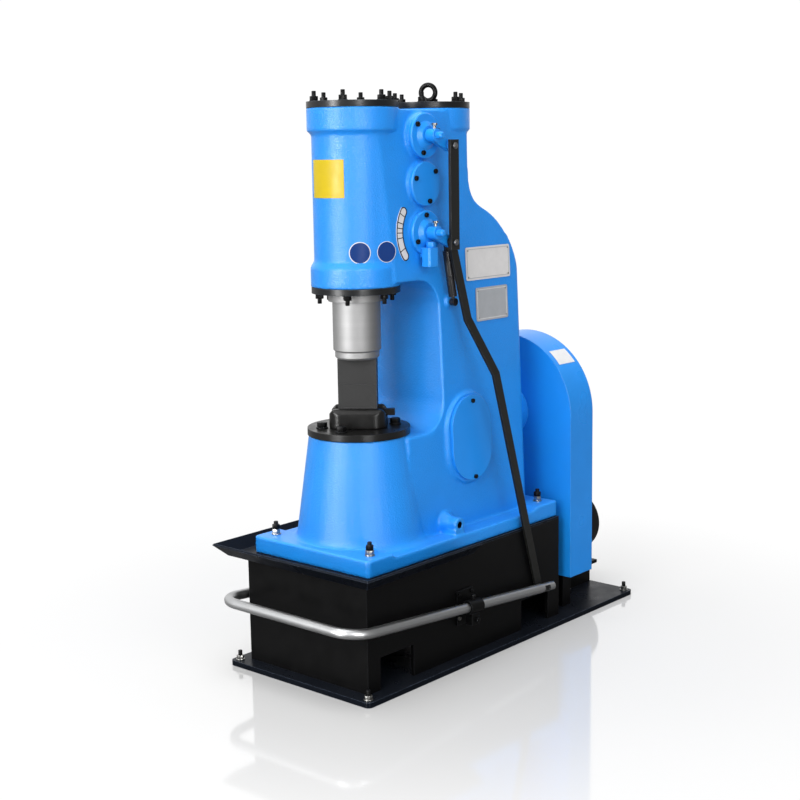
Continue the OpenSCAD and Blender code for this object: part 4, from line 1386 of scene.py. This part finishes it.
@dataclass
class Plates:
    """Blank plates on the column and blank decals on the housing and guard.

    Attributes:
        slope: sideways lean of the casting's side, per unit of height.
        side_low: half width of the side at the seat.
        seat_z: height of the seat.
        house_r: radius of the ram housing.
        flat_turn: turn of the flat between housing and arm.
        plate_lift: distance of the plates off the side.
        line_edge: distance of a plate's line from its edge.
        line_width: width of a plate's line.
        line_lift: foot of a plate's line above its back.
        rivet_r: radius of the rivets.
        rivet_t: height of the rivets.
        rivet_edge: distance of the rivets from a plate's edges.
        rivet_lift: foot of the rivets above a plate's back.
        label_lift: distance of the bent label off the housing.
        disc_rings: rings of faces in a bent disc.
        ring_width: width of those rings, as a share of the disc's radius.
        film: thickness of a flat decal.
        access_y: axis of the access cover.
        access_lift: distance of the cover's face off the side.
        access_z: heights of the cover's screws.
        guard_z: axis of the guard's rim.
        guard_r: radius of the label on the rim.
        label_y: middle of that label.
        label_width: width of that label.
        label_turn: turn of its middle from upright.
        label_arc: turn from its upper to its lower edge.
    """

    slope: float = 46.0 / 1107.0
    side_low: float = 152.0
    seat_z: float = 311.0
    house_r: float = 107.0
    flat_turn: float = 20.0
    plate_lift: float = 0.6
    line_edge: float = 5.0
    line_width: float = 2.0
    line_lift: float = 1.5
    rivet_r: float = 2.2
    rivet_t: float = 1.4
    rivet_edge: float = 9.0
    rivet_lift: float = 1.4
    label_lift: float = 0.9
    disc_rings: int = 4
    ring_width: float = 0.22
    film: float = 0.4
    access_y: float = -58.0
    access_lift: float = 17.8
    access_z: tuple[float, float] = (690.0, 480.0)
    guard_z: float = 598.0
    guard_r: float = 229.6
    label_y: float = 362.0
    label_width: float = 78.0
    label_turn: float = 43.5
    label_arc: float = 13.0

    def side_place(self, y: float, z: float, lift: float) -> Matrix:
        """Frame on the sloping side: local X to the rear, local Y up, local Z out.

        Args:
            y: place front to back.
            z: height.
            lift: distance off the side.
        Returns:
            The frame as a matrix.
        """
        out = Vector((1.0, 0.0, self.slope)).normalized()
        rear = Vector((0.0, 1.0, 0.0))
        x = self.side_low - (z - self.seat_z) * self.slope
        foot = Vector(mm(x, y, z)) + out * (lift * MM)
        turn = Matrix((rear, out.cross(rear), out)).transposed().to_4x4()
        return Matrix.Translation(foot) @ turn

    def on_housing(self, turn: float, z: float, lift: float) -> Point:
        """Point off the ram housing, at a turn in radians about the ram's axis."""
        reach = self.house_r + lift
        return (reach * math.cos(turn), RAM_Y + reach * math.sin(turn), z)

    @staticmethod
    def card(name: str, width: float, height: float, thick: float, corner: float) -> Obj:
        """Flat plate with round corners that lies on the origin.

        Args:
            name: name of the plate.
            width: width.
            height: height.
            thick: thickness.
            corner: corner radius.
        Returns:
            The plate.
        """
        obj = Bench.block(name, (-width / 2, -height / 2, 0), (width / 2, height / 2, thick))
        with Bench.editing(obj):
            bpy.ops.mesh.select_all(action="DESELECT")
            bpy.ops.mesh.select_mode(type="EDGE")
        for edge in obj.data.edges:
            a, b = (obj.data.vertices[i].co for i in edge.vertices)
            edge.select = abs(a.z - b.z) > 1e-6
        bpy.ops.object.mode_set(mode="EDIT")
        bpy.ops.mesh.bevel(offset=corner * MM, segments=6)
        bpy.ops.object.mode_set(mode="OBJECT")
        return obj

    @staticmethod
    def sheet(name: str, cuts: int) -> Obj:
        """Flat square sheet of one unit, divided for bending.

        Args:
            name: name of the sheet.
            cuts: number of cuts each way.
        Returns:
            The sheet.
        """
        Bench.clear()
        bpy.ops.mesh.primitive_plane_add(size=1.0)
        obj = Bench.fresh(name)
        with Bench.editing(obj):
            bpy.ops.mesh.subdivide(number_cuts=cuts)
        return obj

    @staticmethod
    def bend(obj: Obj, spot: Callable[[float, float], Point]) -> Obj:
        """Moves the points of a flat sheet to their places.

        Args:
            obj: sheet in the plane of X and Y.
            spot: gives the place of a point of the sheet.
        Returns:
            The same sheet.
        """
        for v in obj.data.vertices:
            v.co = mm(*spot(v.co.x, v.co.y))
        return obj

    def framed(self, name: str, y: float, z: float, width: float, height: float, face: Finish,
               line: Finish) -> list[Obj]:
        """Blank plate with a thin line round it and four small rivets.

        Args:
            name: name of the plate.
            y: centre front to back.
            z: centre height.
            width: width.
            height: height.
            face: finish of the plate.
            line: finish of the line.
        Returns:
            The plate, its line and its rivets.
        """
        place = self.side_place(y, z, self.plate_lift)
        plate = self.card(name, width, height, thick=1.6, corner=6)
        plate.data.transform(place)
        out, into = 2 * self.line_edge, 2 * (self.line_edge + self.line_width)
        border = self.card(name + "_line", width - out, height - out, thick=0.4, corner=4)
        hole = self.card(name + "_hole", width - into, height - into, thick=3.0, corner=3)
        hole.data.transform(move(0, 0, -1))
        Bench.cut(border, hole)
        border.data.transform(place @ move(0, 0, self.line_lift))
        x, y = width / 2 - self.rivet_edge, height / 2 - self.rivet_edge
        rivets = []
        for spot in ((-x, -y), (-x, y), (x, -y), (x, y)):
            rivet = Bench.cylinder("rivet", self.rivet_r, self.rivet_t, 16)
            rivet.data.transform(place @ move(*spot, self.rivet_lift))
            rivets.append(rivet)
        pins = Bench.piece(name + "_rivets", rivets, Finishes.ZINC)
        return [Bench.fix(plate, face), Bench.fix(border, line), pins]

    def wrap(self, name: str, turns: tuple[float, float], heights: tuple[float, float],
             finish: Finish) -> Obj:
        """Decal that is bent round the ram housing.

        Args:
            name: name of the decal.
            turns: first and last angle about the ram's axis.
            heights: lower and upper edge.
            finish: finish of the decal.
        Returns:
            The decal.
        """
        (start, end), (low, high) = turns, heights
        obj = self.bend(self.sheet(name, cuts=24), lambda x, y: self.on_housing(
            math.radians((start + end) / 2 + x * (end - start)),
            (low + high) / 2 + y * (high - low), self.label_lift))
        return Bench.fix(Bench.smooth(obj, SHEET_TURN), finish)

    def disc(self, name: str, angle: float, z: float, radius: float, lift: float,
             finish: Finish) -> Obj:
        """Round blank decal that is bent round the ram housing.

        Args:
            name: name of the decal.
            angle: its middle about the ram's axis.
            z: its middle height.
            radius: its radius.
            lift: its distance off the housing.
            finish: finish of the decal.
        Returns:
            The decal.
        """
        Bench.clear()
        bpy.ops.mesh.primitive_circle_add(vertices=48, radius=radius, fill_type="NGON")
        obj = Bench.fresh(name)
        with Bench.editing(obj):
            for _ in range(self.disc_rings):
                bpy.ops.mesh.inset(thickness=radius * self.ring_width)
        self.bend(obj, lambda x, y: self.on_housing(
            math.radians(angle) + x / self.house_r, z + y, lift))
        return Bench.fix(Bench.smooth(obj, SHEET_TURN), finish)

    def flat_disc(self, name: str, at: Point, radius: float, lift: float, finish: Finish) -> Obj:
        """Round blank decal on the flat between the housing and the arm.

        Args:
            name: name of the decal.
            at: its middle.
            radius: its radius.
            lift: its distance off the flat.
            finish: finish of the decal.
        Returns:
            The decal.
        """
        out = polar(1.0, -self.flat_turn).to_3d()
        disc = Bench.cylinder(name, radius, self.film, sides=64)
        obj = Bench.bevel(disc, width=0.15, segments=1)
        foot = Vector(mm(*at)) + out * (lift - self.film) * MM
        obj.data.transform(Matrix.Translation(foot) @ Bench.turn_to(out))
        return Bench.fix(Bench.smooth(obj), finish)

    def access_screws(self, kit: Fasteners) -> Obj:
        """Two socket screws on the access cover.

        Args:
            kit: fastener patterns.
        Returns:
            The joined screws.
        """
        kit.socket("access_screw", radius=6, height=6)
        parts = []
        for z in self.access_z:
            place = self.side_place(self.access_y, z, self.access_lift)
            parts.append(kit.set("access_screw", place.to_translation() / MM,
                                 place.to_3x3().col[2], 14))
        return Bench.piece("access_screws", parts, Finishes.BLACK)

    def guard_label(self) -> Obj:
        """Blank white label that is bent over the guard's rim.

        Returns:
            The label.
        """
        def spot(x: float, y: float) -> Point:
            """Place of a point of the label on the rim."""
            up, out = polar(self.guard_r, self.label_turn + self.label_arc * y)
            return (out, self.label_y + self.label_width * x, self.guard_z + up)

        obj = self.bend(self.sheet("guard_label", cuts=12), spot)
        with Bench.editing(obj):
            bpy.ops.mesh.normals_make_consistent(inside=False)
        return Bench.fix(Bench.smooth(obj, SHEET_TURN), Finishes.WHITE)

    def build(self, kit: Fasteners) -> list[Obj]:
        """Makes all plates and decals.

        Args:
            kit: fastener patterns.
        Returns:
            The finished pieces.
        """
        left, right = (-40.6, 1112.0), (112.0, -351.5, 1112.0)
        white, grey = Finishes.PLATE, Finishes.PLATE_GREY
        return [*self.framed("upper_plate", 56, 1059, 196, 90, white, grey),
                *self.framed("lower_plate", 67, 946, 142, 92, grey, white),
                self.wrap("yellow_label", (-118, -60), (1250, 1346), Finishes.YELLOW),
                self.disc("left_disc_rim", *left, 28.0, 0.9, Finishes.WHITE),
                self.disc("left_disc", *left, 25.8, 1.2, Finishes.NAVY),
                self.flat_disc("right_disc_rim", right, 27.0, 1.0, Finishes.WHITE),
                self.flat_disc("right_disc", right, 25.6, 1.3, Finishes.NAVY),
                self.access_screws(kit), self.guard_label()]


@dataclass
class IndexMarks:
    """Black outline and division lines of the index plate.

    Attributes:
        inner: inner radius.
        outer: outer radius.
        spread: half angle between the round ends.
        divisions: angles of the division lines.
        lift: distance of the lines off the side.
        outline: width of the outline.
        division: width of a division line.
        division_gap: distance of a division line's ends from the plate's edges.
        thick: thickness of the lines.
        lap: how far a stroke runs past its ends.
        arc_steps: strokes of each long arc.
        end_step: turn from stroke to stroke of the round ends.
    """

    inner: float = 84.0
    outer: float = 109.0
    spread: float = 36.0
    divisions: tuple[float, ...] = (150.0, 163.0, 171.0, 178.0, 186.0, 205.0)
    lift: float = 2.0
    outline: float = 2.8
    division: float = 2.2
    division_gap: float = 1.0
    thick: float = 0.5
    lap: float = 0.4
    arc_steps: int = 24
    end_step: int = 15

    def build(self, plates: Plates) -> Obj:
        """Makes the outline and the division lines.

        Args:
            plates: gives the frame on the sloping side.
        Returns:
            The joined lines.
        """
        place = plates.side_place(VALVE_Y, LOWER_VALVE_Z, self.lift)
        inset = self.outline / 2
        first, last = 180.0 - self.spread, 180.0 + self.spread
        step = (last - first) / self.arc_steps
        arc = [first + i * step for i in range(self.arc_steps + 1)]
        points = [polar(self.outer - inset, a) for a in arc]
        points += self.round_end(last, last, inset)
        points += [polar(self.inner + inset, a) for a in reversed(arc)]
        points += self.round_end(first, first + 180.0, inset)
        points.append(points[0])
        parts = [self.stroke(a, b, self.outline, place) for a, b in zip(points, points[1:])]
        low, high = self.inner + self.division_gap, self.outer - self.division_gap
        parts += [self.stroke(polar(low, a), polar(high, a), self.division, place)
                  for a in self.divisions]
        return Bench.piece("index_lines", parts, Finishes.INK)

    def round_end(self, at: float, start: float, inset: float) -> list[Vector]:
        """Points of the outline round one end of the plate.

        Args:
            at: angle of the end.
            start: direction in which the half circle starts.
            inset: distance of the outline's middle from the plate's edge.
        Returns:
            The points between the two arcs.
        """
        centre = polar((self.inner + self.outer) / 2, at)
        radius = (self.outer - self.inner) / 2 - inset
        return [centre + polar(radius, start + a) for a in range(self.end_step, 180, self.end_step)]

    def stroke(self, start: Vector, end: Vector, width: float, place: Matrix) -> Obj:
        """Thin raised line between two points of the plate.

        Args:
            start: first point.
            end: last point.
            width: width of the line.
            place: frame on the side.
        Returns:
            The line as a thin block.
        """
        way = end - start
        obj = Bench.block("stroke", (-self.lap, -width / 2, 0),
                          (way.length + self.lap, width / 2, self.thick))
        turn = Matrix.Rotation(math.atan2(way.y, way.x), 4, "Z")
        obj.data.transform(place @ move(start.x, start.y, 0) @ turn)
        return obj


@dataclass
class Studio:
    """Floor, lights, backdrop and camera, with all lengths in metres.

    Attributes:
        camera_at: place of the camera.
        yaw: heading of the camera.
        pitch: downward tilt of the camera.
        roll: roll of the camera.
        lens: focal length on a 36 mm sensor.
        fill_level: backdrop light on matt surfaces.
        gloss_level: backdrop light that gloss reflects from behind and left of the machine.
        room_level: light that gloss reflects from the room on the right.
        wall_side: direction in which the bright backdrop lies.
        wall_fade: where the room starts and ends to turn into the backdrop, on that direction.
        floor_size: width of the floor.
        floor_drop: distance of the floor below the machine.
        floor_tone: tone of the floor to the eye.
        floor_shade: tone of the floor in reflections.
        floor_lift: glow that whitens the near floor in the picture.
        floor_gloss: light that gloss reflects from the far floor.
        floor_near: distance where the floor starts to fade to white.
        floor_far: distance where the floor is white.
    """

    camera_at: Point = (2.56564, -3.09500, 1.36127)
    yaw: float = 41.367
    pitch: float = 9.751
    roll: float = -0.933
    lens: float = 64.85
    fill_level: float = 0.60
    gloss_level: float = 1.25
    room_level: float = 0.30
    wall_side: Point = (-1.0, 0.15, 0.0)
    wall_fade: tuple[float, float] = (-0.5, 0.6)
    floor_size: float = 60.0
    floor_drop: float = 0.0005
    floor_tone: Colour = (0.42, 0.42, 0.42)
    floor_shade: Colour = (0.15, 0.15, 0.15)
    floor_lift: float = 0.20
    floor_gloss: float = 0.45
    floor_near: float = 0.75
    floor_far: float = 1.7

    def build(self) -> None:
        """Builds the studio round the machine."""
        self.floor()
        self.world()
        self.lights()
        self.camera()
        bpy.context.scene.view_settings.view_transform = "Standard"
        bpy.context.scene.view_settings.look = "None"

    def floor(self) -> None:
        """Pale floor with a faint sheen that fades to white far off."""
        Bench.clear()
        bpy.ops.mesh.primitive_plane_add(size=self.floor_size, location=(0, 0, -self.floor_drop))
        floor = Bench.fresh("studio_floor")
        look = Look("studio_floor")
        path = look.add("LightPath")
        tone = look.add("Mix", {"Factor": path["Is Glossy Ray"], "A": (*self.floor_tone, 1.0),
                                "B": (*self.floor_shade, 1.0)}, data_type="RGBA")
        lift = look.add("Math", {0: path["Is Camera Ray"], 1: self.floor_lift},
                        operation="MULTIPLY")
        look.feed(look.shader, {"Roughness": 0.07, "Specular IOR Level": 0.9,
                                "Base Color": tone["Result"], "Emission Color": PURE_WHITE,
                                "Emission Strength": lift["Value"]})
        level = look.add("MapRange", {"Value": path["Is Camera Ray"], "To Min": self.floor_gloss,
                                      "To Max": CLEAR_WHITE})
        glow = look.add("Emission", {"Strength": level["Result"]})
        reach = look.add("VectorMath", {0: look.add("TexCoord")["Object"]}, operation="LENGTH")
        fade = look.add("MapRange", {"Value": reach["Value"], "From Min": self.floor_near,
                                     "From Max": self.floor_far}, interpolation_type="SMOOTHSTEP")
        near = look.tree.nodes["Principled BSDF"].outputs["BSDF"]
        mix = look.add("MixShader", {"Fac": fade["Result"], 1: near, 2: glow["Emission"]})
        look.feed(look.tree.nodes["Material Output"].inputs, {"Surface": mix["Shader"]})
        floor.data.materials.append(look.made)

    def world(self) -> None:
        """White backdrop that gloss and camera see, and that lights the machine only softly."""
        world = bpy.data.worlds.new("studio")
        bpy.context.scene.world = world
        world.use_nodes = True
        net = Wiring(world.node_tree)
        path = net.add("LightPath")
        side = net.add("VectorMath", {0: net.add("TexCoord")["Generated"], 1: self.wall_side},
                       operation="DOT_PRODUCT")
        wall = net.add("MapRange", {"Value": side["Value"], "From Min": self.wall_fade[0],
                                    "From Max": self.wall_fade[1], "To Min": self.room_level,
                                    "To Max": self.gloss_level}, interpolation_type="SMOOTHSTEP")
        gloss = net.add("Mix", {"Factor": path["Is Glossy Ray"], "A": self.fill_level,
                                "B": wall["Result"]}, data_type="FLOAT")
        level = net.add("Mix", {"Factor": path["Is Camera Ray"], "A": gloss["Result"],
                                "B": CLEAR_WHITE}, data_type="FLOAT")
        net.feed(net.tree.nodes["Background"].inputs, {"Color": PURE_WHITE,
                                                       "Strength": level["Result"]})

    @staticmethod
    def light(name: str, at: Point, aim: Point, size: tuple[float, float], power: float,
              kind: Reach = Reach.BOTH) -> None:
        """Adds one soft box.

        Args:
            name: name of the light.
            at: place of the light.
            aim: point that it looks at.
            size: width and height.
            power: power in watts.
            kind: whether it lights matt surfaces, gloss or both.
        """
        data = bpy.data.lights.new(name, "AREA")
        data.shape = "RECTANGLE"
        data.size, data.size_y = size
        data.energy = power
        obj = bpy.data.objects.new(name, data)
        bpy.context.scene.collection.objects.link(obj)
        obj.location = at
        obj.rotation_euler = (Vector(aim) - Vector(at)).to_track_quat("-Z", "Y").to_euler()
        obj.visible_glossy = kind is not Reach.MATT
        obj.visible_diffuse = kind is not Reach.GLOSS

    def lights(self) -> None:
        """Matt light from the front and the right, two tall gloss cards and a top light."""
        dies = (0.0, -0.35, 0.9)
        self.light("front", (0.9, -4.1, 2.3), (0.0, -0.3, 0.9), (2.6, 2.6), 148.0, Reach.MATT)
        self.light("side", (3.7, -1.0, 2.2), (0.0, -0.2, 1.1), (2.4, 2.4), 42.0, Reach.MATT)
        self.light("card_left", (-0.3, -4.3, 1.5), dies, (0.7, 3.2), 330.0, Reach.GLOSS)
        self.light("card_right", (3.4, -2.2, 1.5), dies, (0.5, 3.2), 150.0, Reach.GLOSS)
        self.light("top", (-0.3, -0.6, 4.4), (0.0, -0.1, 0.0), (3.0, 3.0), 130.0)

    def camera(self) -> None:
        """Sets the camera at the fitted place and angle."""
        data = bpy.data.cameras.new("camera")
        data.lens = self.lens
        data.sensor_width = 36.0
        data.clip_end = 200.0
        cam = bpy.data.objects.new("camera", data)
        bpy.context.scene.collection.objects.link(cam)
        a, e, r = (math.radians(v) for v in (self.yaw, self.pitch, self.roll))
        ahead = Vector((-math.sin(a) * math.cos(e), math.cos(a) * math.cos(e), -math.sin(e)))
        level = ahead.cross(Vector((0, 0, 1))).normalized()
        upright = level.cross(ahead)
        right = level * math.cos(r) + upright * math.sin(r)
        up = upright * math.cos(r) - level * math.sin(r)
        turn = Matrix((right, up, -ahead)).transposed().to_4x4()
        cam.matrix_world = Matrix.Translation(self.camera_at) @ turn
        bpy.context.scene.camera = cam


@dataclass
class CadPaint:
    """Finish of every CAD node.

    Attributes:
        plain: finish of the nodes that no other finish names.
        finishes: names of the nodes that have another finish.
    """

    plain: Finish = Finishes.BLACK
    finishes: dict[Finish, tuple[str, ...]] = field(default_factory=lambda: {
        Finishes.BLACK_PLATE: ("base_plate", "drip_tray"),
        Finishes.BLUE: ("hammer_frame",),
        Finishes.BLUE_SMALL: ("upper_valve_cover", "blank_valve_cover", "lower_valve_cover",
                              "upper_valve_lever", "lower_valve_lever", "access_cover"),
        Finishes.BLUE_SHEET: ("belt_guard",),
        Finishes.COVER: ("cylinder_cover", "compressor_cover", "bottom_cover"),
        Finishes.TURNED: ("ram_gland", "ram"),
        Finishes.DIE: ("upper_die", "lower_die"),
        Finishes.IRON: ("die_holder", "die_key", "anvil_plate"),
        Finishes.BAR: ("link_bar", "treadle_rod"),
        Finishes.STRUT: ("strut_tube", "strut_rod"),
        Finishes.ZINC: ("strut_stud",),
        Finishes.PLATE: ("index_plate",),
        Finishes.MOTOR: ("motor_body", "motor_cowl", "terminal_box"),
        Finishes.PIPE: ("treadle_bar",)})

    def dress(self, nodes: dict[str, Obj]) -> None:
        """Paints the CAD nodes.

        Args:
            nodes: CAD nodes of the frame.
        """
        by_node = {name: finish for finish, names in self.finishes.items() for name in names}
        for name, obj in nodes.items():
            Bench.paint(obj, by_node.get(name, self.plain))


def main() -> None:
    """Builds the scene piece by piece."""
    logging.basicConfig(level=logging.INFO, format="%(message)s")
    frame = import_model()
    nodes = frame["nodes"]
    CadPaint().dress(nodes)
    LOG.info("painted %d CAD nodes", len(nodes))
    for piece in (*Casting().build(nodes), Holder().build(nodes)):
        LOG.info("softened %s", piece.name)
    kit, plates = Fasteners(), Plates()
    for part in (CoverStuds("cylinder_cover_studs", RAM_Y, z=1492.0, ring=101.0),
                 CoverStuds("compressor_cover_studs", COMPRESSOR_Y, z=1492.0, ring=95.0),
                 CoverStuds("bottom_cover_studs", RAM_Y, z=1004.0, ring=99.0, axis=Axis.DOWN),
                 AnvilBolts(), FootHardware(), ValveHardware(), TreadleHardware(),
                 MotorHardware(), plates):
        for piece in part.build(kit):
            LOG.info("placed %s", piece.name)
    kit.tidy()
    LOG.info("placed %s", IndexMarks().build(plates).name)
    Studio().build()


if __name__ == "__main__":
    main()
